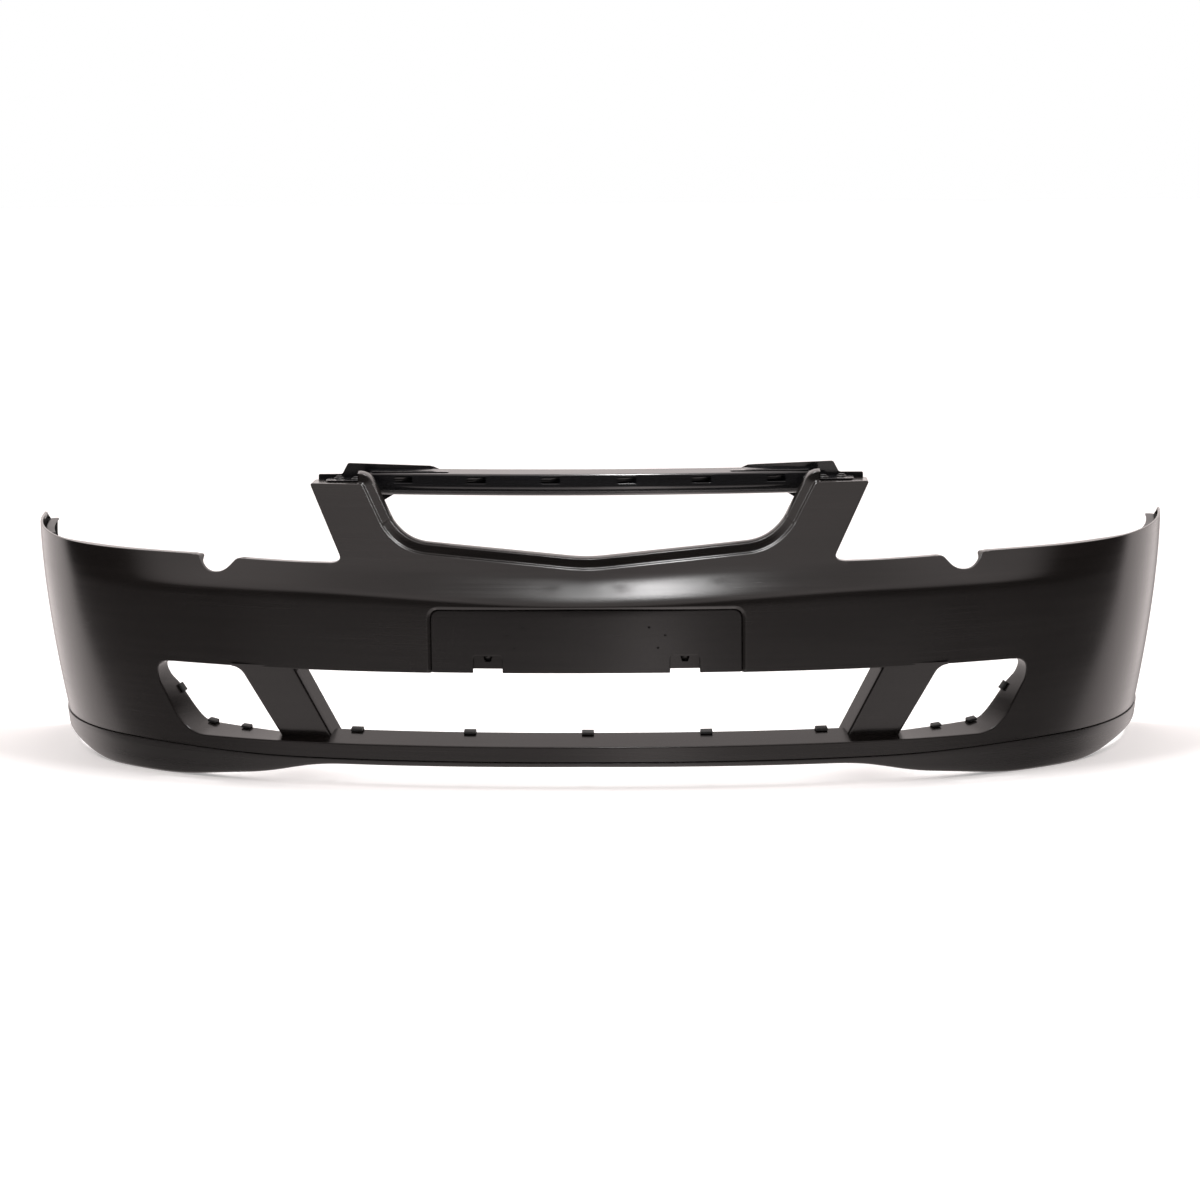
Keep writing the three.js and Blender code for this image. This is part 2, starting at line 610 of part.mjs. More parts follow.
// Grille carrier: a channel across the top of the grille opening, with an end plate behind each post.
function grilleCarrier() {
  const { low, fold, high, deep, half, endY } = CARRIER;
  const front = (x) => CARRIER.y + CARRIER.bow * (x / 300) ** 2;
  const beam = wall(
    divided(-half, half, 13).map((x) => {
      const y = front(x);
      return [
        [V(x, y + deep, high + 5), V(x, y + deep, high + 2)],
        [V(x, y + 3, high), V(x, y + 6, high - WALL)],
        [V(x, y, fold), V(x, y + WALL, fold)],
        [V(x, y + 7, low), V(x, y + 9, low + WALL)],
        [V(x, y + deep - 6, low), V(x, y + deep - 6, low + WALL)],
      ];
    }),
  );
  const pockets = [0, 1, 2].map((i) => pocket(POCKET.first + i * POCKET.pitch, front));
  const windows = join(pockets.map(({ window }) => window));
  const linings = join(pockets.map(({ lining }) => lining));
  return join([beam.subtract(bothSides(windows)), bothSides(linings), bothSides(carrierEnd())]);
}

// Blind pocket in the channel's front that a catch of the grille snaps into.
function pocket(x, front) {
  const { width, low, high, depth, wall: thick } = POCKET;
  const y = front(x);
  const [left, right] = [x - width / 2, x + width / 2];
  const window = box(left, right, y - 20, y + depth, low, high);
  const back = box(left - thick, right + thick, y + depth, y + depth + thick, low - thick, CARRIER.high - 1.5);
  const floor = box(left - thick, right + thick, y + 2, y + depth + thick, low - thick, low);
  return { window, lining: back.add(floor) };
}

// End of the carrier: an upright plate, a gusset from the channel, and a foot on the post's ledge.
function carrierEnd() {
  const { high, low, half, endY } = CARRIER;
  const shape = new THREE.Shape();
  shape.moveTo(216, low);
  shape.lineTo(216, high);
  shape.lineTo(226, high + 1);
  shape.lineTo(244, high + 9);
  shape.lineTo(374, high + 14);
  shape.lineTo(383, high - 3);
  shape.lineTo(420, high - 3);
  shape.lineTo(420, 440);
  shape.lineTo(372, 421);
  shape.lineTo(322, 414);
  shape.lineTo(300, low);
  const upright = prism(shape, endY, endY + WALL);
  const footZ = POST.tipZ - 0.5 + GAP;
  const foot = plate([[half - 6, 160], [398, 160], [404, 168], [404, endY + 1], [half - 6, endY + 1]], footZ, WALL);
  const gusset = plate([[216, 176], [half - 2, 186], [half - 2, endY + 1], [216, endY + 1]], high, WALL);
  const holes = RIVETS.map(([x, y]) => bore(RIVET.hole, V(x, y, footZ)));
  return join([upright, foot, gusset]).subtract(join(holes));
}

// Side retainer: a strip inside the top of a wing, with hook windows and a lug on the arch flange.
function sideRetainer() {
  const { low, step, below, inset, foldBack, from } = RETAINER;
  const near = WALL + GAP + 0.6;
  const far = WALL + TOP_EDGE.wingFlange + GAP + 0.8;
  const body = wall(
    divided(0, 1, 6).map((s) => {
      const f = (z) => THREE.MathUtils.lerp(angleAtY(from), angleAtY(archY(z) - 4.5), s);
      const high = topZ(THREE.MathUtils.lerp(0.86, 0.985, s)) - below;
      const at = (n, z) => beside(f(z), standOut(905, z) - n, z);
      const t = WALL - 0.5;
      return [
        [at(near, low), at(near + t, low)],
        [at(near, step - 4), at(near + t, step - 4)],
        [at(far, step + 3), at(far + t, step + 3)],
        [at(far, high), at(far + t, high - t)],
        [at(far + foldBack - inset, high), at(far + foldBack - inset, high - t)],
      ];
    }),
  );
  const lug = archStrip([low, 325, 346], near + 0.5, ARCH.flange, WALL + 1.3, WALL - 0.5);
  const windows = [428, 463, 498].map((y) => box(840, 940, y - 7, y + 7, step + 6, step + 14));
  const holes = RETAINER_SCREWS.map((z) => {
    const { at, axis } = archFixing(z);
    return bore(SCREW.hole, at, axis);
  });
  return body.add(lug).subtract(join([...windows, ...holes]));
}

// ---- fixings -----------------------------------------------------------------------------------------
function rivetBody(at) {
  const { shank, head, headHeight, bore: inner, length } = RIVET;
  const section = [[inner, headHeight], [head - 1, headHeight], [head, headHeight * 0.5], [head, 0]];
  return turned([...section, [shank, 0], [shank, -length], [inner, -length], [inner, headHeight]], at);
}

function rivetPin(at) {
  const { pin, pinHead, headHeight, length } = RIVET;
  const top = headHeight + GAP;
  return turned([[0, 1.2 - length], [pin, 2 - length], [pin, top], [pinHead, top], [pinHead - 0.6, top + 1.6], [0, top + 1.8]], at);
}

function screw(at, axis) {
  const { shank, head, headHeight, length } = SCREW;
  const dome = [[head, 0], [head, headHeight * 0.5], [head * 0.7, headHeight], [0, headHeight]];
  return turned([[0, -length], [shank, -length], [shank, 0], ...dome], at, axis);
}

// A U clip pushed onto the rear edge of a wall: edge point, direction along the edge, direction of the wall.
function edgeClip(at, along, back, width) {
  const { reach, leg, upperLeg, slack } = CLIP;
  const inside = WALL / 2 + slack;
  const outside = slack + CLIP.back;
  const shape = new THREE.Shape();
  shape.moveTo(-reach, -inside);
  shape.lineTo(slack, -inside);
  shape.lineTo(slack, inside);
  shape.lineTo(-reach, inside);
  shape.lineTo(1 - reach, inside + upperLeg - 1);
  shape.lineTo(3 - reach, inside + upperLeg);
  shape.lineTo(outside - 1.5, inside + upperLeg);
  shape.lineTo(outside, inside + upperLeg - 1.5);
  shape.lineTo(outside, -inside - leg);
  shape.lineTo(-reach, -inside - leg);
  const geometry = new THREE.ExtrudeGeometry(shape, { depth: width, bevelEnabled: false });
  geometry.translate(0, 0, -width / 2);
  const normal = along.clone().cross(back).normalize();
  const squareBack = normal.clone().cross(along).normalize();
  const frame = new THREE.Matrix4().makeBasis(squareBack, normal, squareBack.clone().cross(normal));
  geometry.applyMatrix4(frame.setPosition(at));
  return solid(geometry);
}

// Clip on the shelf's rear edge at x.
function shelfClip(x) {
  const rear = (u) => V(u, surfaceY(u, LOWER.bottom) + FUNNEL.depth, LOWER.bottom + FUNNEL.inset - WALL / 2);
  const next = shelfXs.findIndex((u) => u > x);
  const [a, b] = [rear(shelfXs[next - 1]), rear(shelfXs[next])];
  const at = a.clone().lerp(b, (x - a.x) / (b.x - a.x));
  return edgeClip(at, b.sub(a).normalize(), V(0, FUNNEL.depth, FUNNEL.inset).normalize(), CLIP.width);
}

// Clip on one length of the right fog lamp opening's rear edge.
function fogClip(i) {
  const front = fogFront();
  const rear = fogRear();
  const middle = (k) => across(front, k).multiplyScalar(-WALL / 2).add(rear[k]);
  const edge = (k) => V(middle(k).x, surfaceY(front[k].x, front[k].y) + FUNNEL.depth - 4, middle(k).y);
  const start = (k) => onFront(front[k].x, front[k].y, 0.6);
  const [a, b] = [edge(i), edge(i + 1)];
  const at = a.clone().lerp(b, 0.5);
  const back = at.clone().sub(start(i).lerp(start(i + 1), 0.5)).normalize();
  return edgeClip(at, b.sub(a).normalize(), back, CLIP.fogWidth);
}

// ---- build -------------------------------------------------------------------------------------------
const look = (color, roughness, metalness = 0) => new THREE.MeshStandardMaterial({ color, roughness, metalness });
const MOULDED = look(0x2b2826, 0.42);
const GLOSS = look(0x121316, 0.15);
const DARK = look(0x161616, 0.6);
const ZINC = look(0xb9bcc0, 0.35, 1);

const cover = new THREE.Group();
function add(name, made, material) {
  const mesh = new THREE.Mesh(geometryOf(made), material);
  mesh.name = name;
  cover.add(mesh);
}
// Adds a piece for the right side (+X) and its mirror image for the left.
function addPair(name, made, material) {
  add(`right_${name}`, made, material);
  add(`left_${name}`, mirrored(made), material);
}

add("bumper_fascia", fascia(), MOULDED);
add("lower_lip", lowerLip(), MOULDED);
add("number_plate_panel", platePanel(), MOULDED);
add("grille_carrier", grilleCarrier(), GLOSS);
addPair("side_retainer", sideRetainer(), DARK);

const rivetZ = POST.tipZ - 0.5 + GAP + WALL + GAP;
RIVETS.forEach(([x, y], i) => {
  addPair(`rivet_${i + 1}`, rivetBody(V(x, y, rivetZ)), DARK);
  addPair(`rivet_pin_${i + 1}`, rivetPin(V(x, y, rivetZ)), DARK);
});
RETAINER_SCREWS.forEach((z, i) => {
  const { at, axis } = archFixing(z);
  addPair(`retainer_screw_${i + 1}`, screw(at.addScaledVector(axis, 1.2), axis), ZINC);
});
LIP_SCREWS.forEach((x, i) => {
  const made = screw(lipScrewAt(x, seamZ(x) + WALL + 2 * GAP), V(0, 0, 1));
  if (x === 0) add("lip_screw_centre", made, ZINC);
  else addPair(`lip_screw_${i}`, made, ZINC);
});
SHELF_CLIPS.forEach((x, i) => add(`grille_clip_${i + 1}`, shelfClip(x), DARK));
FOG_CLIPS.forEach((length, i) => addPair(`fog_clip_${i + 1}`, fogClip(length), DARK));

// The cover stands at the middle of its own frame.
const bounds = new THREE.Box3().setFromObject(cover);
cover.position.set(0, -(bounds.min.y + bounds.max.y) / 2, -bounds.min.z);

export default cover;
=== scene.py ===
"""Looks of the front bumper cover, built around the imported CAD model.

Shapes are worked out in millimetres in the cover's own frame (x to the side, y from the nose to the rear,
z up from the bottom of the lip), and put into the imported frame, in metres, as each mesh is made.
"""
import math

import bmesh
import bpy
import numpy as np
from mathutils import Matrix, Vector
from mathutils.geometry import delaunay_2d_cdt
from mathutils.kdtree import KDTree


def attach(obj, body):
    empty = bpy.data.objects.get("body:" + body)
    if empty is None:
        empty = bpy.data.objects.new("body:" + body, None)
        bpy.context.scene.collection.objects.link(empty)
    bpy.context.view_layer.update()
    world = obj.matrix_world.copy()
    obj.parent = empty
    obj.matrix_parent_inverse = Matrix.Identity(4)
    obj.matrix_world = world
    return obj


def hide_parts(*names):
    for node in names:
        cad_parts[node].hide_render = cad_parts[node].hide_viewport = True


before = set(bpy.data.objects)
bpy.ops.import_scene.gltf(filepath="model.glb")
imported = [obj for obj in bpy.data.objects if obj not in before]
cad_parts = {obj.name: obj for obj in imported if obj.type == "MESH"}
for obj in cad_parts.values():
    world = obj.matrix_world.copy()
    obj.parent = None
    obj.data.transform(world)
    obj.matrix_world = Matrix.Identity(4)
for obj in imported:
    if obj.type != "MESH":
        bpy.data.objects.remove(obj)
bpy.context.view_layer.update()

# ---- dimensions of the cover ----
# Most match the CAD model. Known to differ are CORNER's rise, which is 3 there, NOTCH's r, which is 10,
# STRIP's low, which is 190, and PILLAR's fillet, which it lacks.
WALL = 3.0
GAP = 0.4  # left between pieces that meet
PLAN = dict(half=893.0, wrap=850.0, power=2.2)
ARCH = dict(y=885.0, z=172.0, r=370.0, flange=20.0, top_flange=14.0)
SEAM = dict(z=42.0, rise=8.0, a=450.0, b=750.0, flange=22.0)
NOSE = dict(z=280.0, rise=18.0, over=450.0, proud=8.0)
TUCK = dict(back=12.0, over=238.0, power=1.6)  # how the face leans back under the nose
SHELF = dict(top=316.0, rise=21.0, over=390.0)
SURROUND = dict(lean=0.65, a=384.0, b=425.0, end=430.0, high=345.0, foot=24.0, back=60.0, blend=1.5)
TOP = dict(rise=22.0, a=400.0, over=500.0, power=1.8, flange=16.0, wing_flange=4.0, thin_a=780.0,
           thin_b=850.0)
CORNER = dict(rise=2.0, a=330.0, b=545.0, r=11.0, share=0.01)  # share: of the way round, for its rounding
WING = dict(lean=36.0, power=1.6, z0=50.0, z1=350.0, a=560.0, b=800.0, x=905.0)  # x: outside all blending
LOWER = dict(bottom=66.0, top=179.0, depth=42.0, inset=15.0, top_flange=22.0, fog_less=4.0)
PLATE = dict(half=232.0, bottom=179.0, top=274.0, corner=14.0, set=3.0, chamfer=5.0, rebate=8.5, wall=2.5)
NOTCH = dict(x=147.0, half=22.0, height=27.0, r=6.0)
PITS = ((94, 249), (118, 237), (107, 218))  # pilot dimples for the number plate's screws
STRIP = dict(low=185.0, high=210.0, slot=200.0, flange=15.5)
PILLAR = dict(low_in=388.0, low_out=467.0, low_set=23.0, top_in=444.0, top_out=530.0, top_set=3.0,
              fillet=12.0, foot=62.0, slope=0.24, spread=15.0, inner=32.4, outer=22.0)
POST = dict(tip_out=427.0, tip_in=344.0, tip_z=449.0, ledge_back=203.0)
FOOT_TOP = POST["tip_z"] - 0.1 + WALL  # upper face of the carrier's feet, which lie on the posts' ledges
LIP = dict(proud=2.5, wall=2.2, flange=20.0)
LIP_EDGE = ([0, 400, 440, 490, 560, 630, 775, 810, 870], [36, 34, 28, 16, 9, 0, 0, 12, 27])
CARRIER = dict(y=150.0, bow=25.0, over=300.0, half=338.0, low=427.0, fold=438.0, high=460.0, deep=34.0,
               end_y=206.0)
POCKET = dict(first=58.0, pitch=114.0, half=14.0, low=446.0, high=456.5, depth=11.0, wall=2.5)
RIVETS = ((358.0, 176.0), (386.0, 188.0))
RIVET = dict(hole=4.1, shank=3.7, bore=2.4, head=8.0, top=1.6, low=-10.0)
SCREW = dict(hole=2.8, shank=2.2, thread=0.35, low=-8.0, inset=12.0)
LIP_SCREWS = (0.0, 250.0, 500.0, 735.0)
RETAINER = dict(a=400.0, low=300.0, step=328.0, high=343.0, below=12.0, fold=14.0, run=120.0, wall=2.5)
RETAINER_SCREWS = (320.0, 337.0)
SHELF_CLIPS = (-351.0, -178.0, 0.0, 178.0, 351.0)
FOG_STEPS = 16  # lengths into which a fog lamp opening's edge is divided
FOG_CLIPS = (5, 8, 12)  # the ones that have a clip
NOTCH_ENDS = (598.4, 536.6)  # x where the headlamp notch meets the top edge
NOTCH_REACH = (607.0, 528.0)  # x where the notch's edge line starts and stops, on the top edge
TURN = 500.0  # outside this the sheet is measured along the cover instead of across it
EDGE = 1.4  # rounding of the moulded sheet's edges
PROFILE_POINTS = 36  # in every edge section
SHARP_ANGLE = 35  # degrees between faces, above which an edge is drawn sharp
CAMERA = dict(at=(188.0, -4500.0, 969.0), yaw=-2.12, pitch=8.58, roll=-0.5, lens=92.13, sensor=36)

SHIFT = np.array([0.0, -276.36, 0.0])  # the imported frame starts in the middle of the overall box


def place(points):
    """Millimetres in the cover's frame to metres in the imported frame."""
    return (np.asarray(points, float) + SHIFT) / 1000


def unit(rows):
    """Vectors at length 1."""
    return rows / np.linalg.norm(rows, axis=1)[:, None]


# ---- surface of the cover ----
def ease(a, b, x):
    s = np.clip((np.asarray(x, float) - a) / (b - a), 0, 1)
    return s * s * (3 - 2 * s)


def mix(a, b, s):
    return a + (b - a) * s


def soft_min(a, b, k):
    low = np.minimum(a, b)
    return low - k * np.log(np.exp((low - a) / k) + np.exp((low - b) / k))


def plan(t):
    x = PLAN["half"] * np.abs(np.sin(t)) ** (2 / PLAN["power"]) * np.sign(t)
    return x, PLAN["wrap"] * (1 - np.sqrt(np.maximum(np.cos(t), 1e-9)))


def outward(t):
    """Unit normal of the plan curve at angle t, as its x and y."""
    t = np.where(np.abs(t) < 0.003, 0.003, t)
    (xa, ya), (xb, yb) = plan(t - 1e-4), plan(t + 1e-4)
    length = np.hypot(xb - xa, yb - ya)
    return (yb - ya) / length, (xa - xb) / length


def angle_at_x(x):
    return np.sign(x) * np.arcsin(np.minimum(1, np.abs(x) / PLAN["half"]) ** (PLAN["power"] / 2))


def angle_at_y(y):
    return np.arccos((1 - y / PLAN["wrap"]) ** 2)


def arch_y(z):
    return ARCH["y"] - np.sqrt(np.maximum(0, ARCH["r"] ** 2 - (z - ARCH["z"]) ** 2))


def arch_angle(z):
    return angle_at_y(arch_y(z))


def seam_z(x):
    return SEAM["z"] + SEAM["rise"] * ease(SEAM["a"], SEAM["b"], np.abs(x))


def nose_z(x):
    return NOSE["z"] + NOSE["rise"] * ease(0, NOSE["over"], np.abs(x))


def shelf_top_z(x):
    return SHELF["top"] + SHELF["rise"] * np.minimum(1, np.abs(x) / SHELF["over"])


def top_edge_z(x):
    along = np.maximum(0, np.abs(x) - TOP["a"]) / TOP["over"]
    return shelf_top_z(x) + TOP["rise"] * along ** TOP["power"]


def stand_out(x, z):
    """How far the surface stands out from the plan curve."""
    nose = nose_z(x)
    face = NOSE["proud"] - TUCK["back"] * (np.maximum(0, nose - z) / TUCK["over"]) ** TUCK["power"]
    shelf = NOSE["proud"] - (z - nose)
    height = (WING["z1"] - np.clip(z, WING["z0"], WING["z1"])) / (WING["z1"] - WING["z0"])
    wing = WING["lean"] * (1 - height ** WING["power"])
    return mix(soft_min(face, shelf, 3), wing, ease(WING["a"], WING["b"], np.abs(x)))


def station_x(t, z):
    """x whose cross-section is used at plan angle t and height z."""
    return plan(t / arch_angle(z) * arch_angle(ARCH["z"]))[0]


def beside(t, n, z):
    (x, y), (nx, ny) = plan(t), outward(t)
    return np.stack([x + nx * n, y + ny * n, np.broadcast_to(z, np.shape(x))], -1)


def on_wing(t, z, inside=0.0):
    return beside(t, stand_out(station_x(t, z), z) - inside, z)


def angle_seen_at(x, z):
    """Plan angle whose surface point is seen at x from the front."""
    t = angle_at_x(x)
    for _ in range(8):
        t = angle_at_x(x - outward(t)[0] * stand_out(station_x(t, z), z))
    return t


def front_y(x, z):
    """y of the cover seen at x, z from the front: face and nose shelf, or the surround and posts."""
    y = on_wing(angle_seen_at(x, z), z)[..., 1]
    top = shelf_top_z(x)
    step = NOSE["proud"] - (top - nose_z(x))
    c = SURROUND
    away = ease(c["a"], c["b"], np.abs(x)) * (z < c["high"])
    away = away + 1 - ease(top - c["foot"], top - c["foot"] / 2, z)
    post = plan(angle_at_x(x))[1] - step + c["lean"] * np.maximum(z - top, -c["foot"]) + c["back"] * away
    return np.where(np.abs(x) < c["end"], soft_min(y, post, c["blend"]), y)


def half_length():
    t = np.linspace(float(angle_at_x(TURN)), float(arch_angle(ARCH["z"])), 2001)
    x, y = plan(t)
    return TURN + float(np.hypot(np.diff(x), np.diff(y)).sum())


HALF = half_length()


def wing_share(t, z):
    start = angle_seen_at(np.full(np.shape(t), TURN), z)
    return (t - start) / (arch_angle(z) - start)


def wing_angle(a, z):
    """Plan angle on the wing, at a distance along the cover."""
    start = angle_seen_at(np.full_like(a, TURN), z)
    return mix(start, arch_angle(z), (np.maximum(a, TURN) - TURN) / (HALF - TURN))


def skin(u, z):
    """Point of the outer surface. u is x over the front, and distance along the cover on the wings."""
    u, z = np.broadcast_arrays(np.asarray(u, float), np.asarray(z, float))
    a = np.abs(u)
    wing = on_wing(wing_angle(a, z), z)
    ahead = np.minimum(a, TURN)
    front = np.stack([ahead, front_y(ahead, z), z], -1)
    point = np.where((a > TURN)[..., None], wing, front)
    point[..., 0] *= np.where(u < 0, -1, 1)
    return point


def along_at(x, z):
    """u of the surface point seen at x, z from the front."""
    a = np.abs(x)
    share = wing_share(angle_seen_at(np.maximum(a, TURN), z), z)
    return np.sign(x) * np.where(a > TURN, TURN + share * (HALF - TURN), a)


def seen(line):
    """Front-view line in x and z, as u and z."""
    return np.stack([along_at(line[:, 0], line[:, 1]), line[:, 1]], 1)


def on_front(x, z, depth=0.0):
    p = skin(along_at(np.asarray(x, float), np.asarray(z, float)), z)
    p[..., 1] += depth
    return p


# ---- lines and edge sections ----
def rounded(points, closed=False, step=5.0, fine=5, straight=None):
    """Line through corners (a, b, rounding), where rounding is a length or a (before, after) pair."""
    out = []
    for i, (a, b, r) in enumerate(points):
        p = np.array([a, b], float)
        if r == 0 or (not closed and i in (0, len(points) - 1)):
            out.append([p])
            continue
        before, after = (r, r) if np.isscalar(r) else r
        last = np.array(points[i - 1][:2], float)
        following = np.array(points[(i + 1) % len(points)][:2], float)
        start = p + (last - p) / np.linalg.norm(last - p) * before
        end = p + (following - p) / np.linalg.norm(following - p) * after
        n = fine if straight else max(fine, int((before + after) / step))
        out.append([(1 - s) ** 2 * start + 2 * s * (1 - s) * p + s * s * end for s in np.linspace(0, 1, n)])
    if closed:
        out.append([out[0][0]])
    line = list(out[0])
    for run in out[1:]:
        start, gap = line[-1], np.linalg.norm(run[0] - line[-1])
        if gap < 1e-6 and not straight:
            run = run[1:]
        else:
            n = straight or max(1, int(round(gap / step)))
            line += [start + (run[0] - start) * k / n for k in range(1, n)]
        line += run
    return np.array(line[:-1] if closed else line)


def lengths_along(line):
    """Length from a line's start to each of its points."""
    return np.concatenate([[0], np.cumsum(np.linalg.norm(np.diff(line, axis=0), axis=1))])


def reach(line, count):
    """Line taken again at evenly spaced lengths."""
    length = lengths_along(line)
    at = np.linspace(0, length[-1], count)
    return np.stack([np.interp(at, length, line[:, k]) for k in range(line.shape[1])], 1)


def mirror(line):
    """Line in u or x and z, mirrored and run the other way."""
    return line[::-1] * [-1, 1]


def profile(corners):
    """Edge section from the skin's last point round to its inside: into the sheet, along the flange."""
    line = list(rounded(corners, step=60, fine=4))
    while len(line) < PROFILE_POINTS:
        gaps = [np.linalg.norm(b - a) for a, b in zip(line, line[1:])]
        k = int(np.argmax(gaps))
        line.insert(k + 1, (line[k] + line[k + 1]) / 2)
    return np.array(line)


def flange(length, wall=WALL, edge=EDGE):
    back = min(wall + 1.6, length * 0.7)
    tip = wall * 0.3
    return profile([(edge, 0, 0), (0, 0, edge), (0, length, tip), (wall, length, tip), (wall, back, 0.8),
                    (edge + wall * 0.15, wall * 1.05, 0)])


def rim(wall=WALL, edge=0.8):
    return profile([(edge, 0, 0), (0, 0, edge), (0, wall, edge), (edge, wall, 0)])


RABBET = profile([(EDGE, 0, 0), (0, 0, EDGE), (-2, 6, 1.6), (-15, 8, 1.5), (-18, 26, 0.9),
                  (-15, 26, 0.9), (-12, 11, 2), (0.5, 9, 3), (2.5, 4.5, 1), (EDGE + 0.4, WALL, 0)])
APERTURE = profile([(EDGE, 0, 0), (0, 0, EDGE), (-5, 4, 0.8), (-5, 8.5, 0.7), (-19, 8.5, 0.9),
                    (-19, 11.5, 0.9), (-2, 11.5, 2), (1, 6, 1), (EDGE + 0.4, WALL, 0)])


class Edge:
    """A stretch of a sheet's edge: its line, its sections, and the way that the flange runs. Sections reach
    out of the sheet along its surface, or level, in the front view's plane."""

    def __init__(self, line, sections, way=None, level=False):
        self.line = line
        sections = np.asarray(sections)
        self.sections = np.broadcast_to(sections, (len(line), *sections.shape[-2:]))
        self.way = None if way is None else np.broadcast_to(way, (len(line), 3))
        self.level = level


# ---- meshes ----
def add_object(name, data):
    obj = bpy.data.objects.new(name, data)
    bpy.context.scene.collection.objects.link(obj)
    return obj


class Build:
    """Vertices and faces of one piece, with normals where the exact surface gives them."""

    def __init__(self):
        self.points, self.normals, self.faces = [], [], []

    def add(self, points, normals=None):
        first = len(self.points)
        points = np.asarray(points, float).reshape(-1, 3)
        self.points.extend(points)
        self.normals.extend(np.zeros_like(points) if normals is None else normals)
        return np.arange(first, first + len(points))

    def face(self, *ids):
        ids = [int(a) for i, a in enumerate(ids) if a != ids[i - 1]]
        if len(ids) > 2:
            self.faces.append(tuple(ids))

    def grid(self, rows, closed_rows=False, closed=False):
        """Faces between rows of vertices."""
        for i in range(len(rows) if closed else len(rows) - 1):
            a, b = rows[i], rows[(i + 1) % len(rows)]
            for j in range(len(a) if closed_rows else len(a) - 1):
                k = (j + 1) % len(a)
                self.face(a[j], a[k], b[k], b[j])

    def loft(self, rings):
        """Solid through closed rings of points, with a flat cap at both ends."""
        rows = [self.add(ring) for ring in rings]
        self.grid(rows, closed_rows=True)
        self.face(*rows[0])
        self.face(*rows[-1][::-1])

    def piece(self, name, nodes, slot, body="cover", bevel=0):
        mesh = bpy.data.meshes.new(name)
        mesh.from_pydata(place(self.points).tolist(), [], self.faces)
        exact = np.any(self.normals)
        if not exact:
            bm = bmesh.new()
            bm.from_mesh(mesh)
            bmesh.ops.recalc_face_normals(bm, faces=bm.faces)
            bm.to_mesh(mesh)
            bm.free()
        mesh.polygons.foreach_set("use_smooth", [True] * len(mesh.polygons))
        if exact:
            mesh.normals_split_custom_set_from_vertices(np.array(self.normals).tolist())
        else:
            mesh.set_sharp_from_angle(angle=math.radians(SHARP_ANGLE))
        mesh.materials.append(MATERIALS[slot])
        obj = add_object(name, mesh)
        if bevel:
            soften = obj.modifiers.new("edges", "BEVEL")
            soften.width, soften.segments, soften.limit_method = bevel / 1000, 2, "ANGLE"
            soften.harden_normals = True
        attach(obj, body)
        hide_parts(*nodes)


def on_side(build, side):
    """A piece of the right side as it is, or mirrored for the left."""
    if side > 0:
        return build
    build.points = [np.asarray(p) * [-1, 1, 1] for p in build.points]
    build.normals = [np.asarray(n) * [-1, 1, 1] for n in build.normals]
    build.faces = [face[::-1] for face in build.faces]
    return build


def inside(points, loops):
    """Even-odd test of points against closed loops."""
    hit = np.zeros(len(points), bool)
    for loop in loops:
        a, b = loop, np.roll(loop, -1, 0)
        rise = np.where(b[:, 1] == a[:, 1], 1e-12, b[:, 1] - a[:, 1])
        for k in range(0, len(points), 2000):
            x, z = points[k : k + 2000, :1], points[k : k + 2000, 1:]
            cross = (a[:, 1] > z) != (b[:, 1] > z)
            at = a[:, 0] + (z - a[:, 1]) * (b[:, 0] - a[:, 0]) / rise
            hit[k : k + 2000] ^= (np.sum(cross & (x < at), 1) % 2).astype(bool)
    return hit


def enclosed(coords, triangles, borders, loops):
    """The triangles inside the loops. Regions between borders are judged whole, with their slivers."""
    region, sides = list(range(len(triangles))), {}

    def root(i):
        while region[i] != i:
            region[i] = region[region[i]]
            i = region[i]
        return i

    for i, (a, b, c) in enumerate(triangles.tolist()):
        for side in ((a, b), (b, c), (c, a)):
            side = tuple(sorted(side))
            if side not in borders:
                region[root(i)] = root(sides.setdefault(side, i))
    roots = np.array([root(i) for i in range(len(triangles))])
    p, q, r = (coords[triangles[:, k]] for k in range(3))
    v, w = q - p, r - p
    area = np.abs(v[:, 0] * w[:, 1] - v[:, 1] * w[:, 0]) / 2
    whole = np.bincount(roots, area, len(triangles))
    within = np.bincount(roots, area * inside((p + q + r) / 3, loops), len(triangles))
    return triangles[((within > whole / 2) & (whole > 1e-3))[roots]]


def surface_normals(surface, ab):
    e, a, b = 0.4, ab[:, 0], ab[:, 1]
    n = np.cross(surface(a + e, b) - surface(a - e, b), surface(a, b + e) - surface(a, b - e))
    return unit(n)


def mitres(line):
    """Offset direction to the left at each point of a closed line, long enough to keep its distance."""
    def apart(k):
        d = np.roll(line, -k, 0) - line
        short = np.linalg.norm(d, axis=1) < 1e-6
        d[short] = (np.roll(line, -2 * k, 0) - line)[short]
        return unit(d)

    ahead, behind = apart(1), -apart(-1)
    n1 = np.stack([-ahead[:, 1], ahead[:, 0]], 1)
    n2 = np.stack([-behind[:, 1], behind[:, 0]], 1)
    return (n1 + n2) / (1 + np.sum(n1 * n2, 1))[:, None]


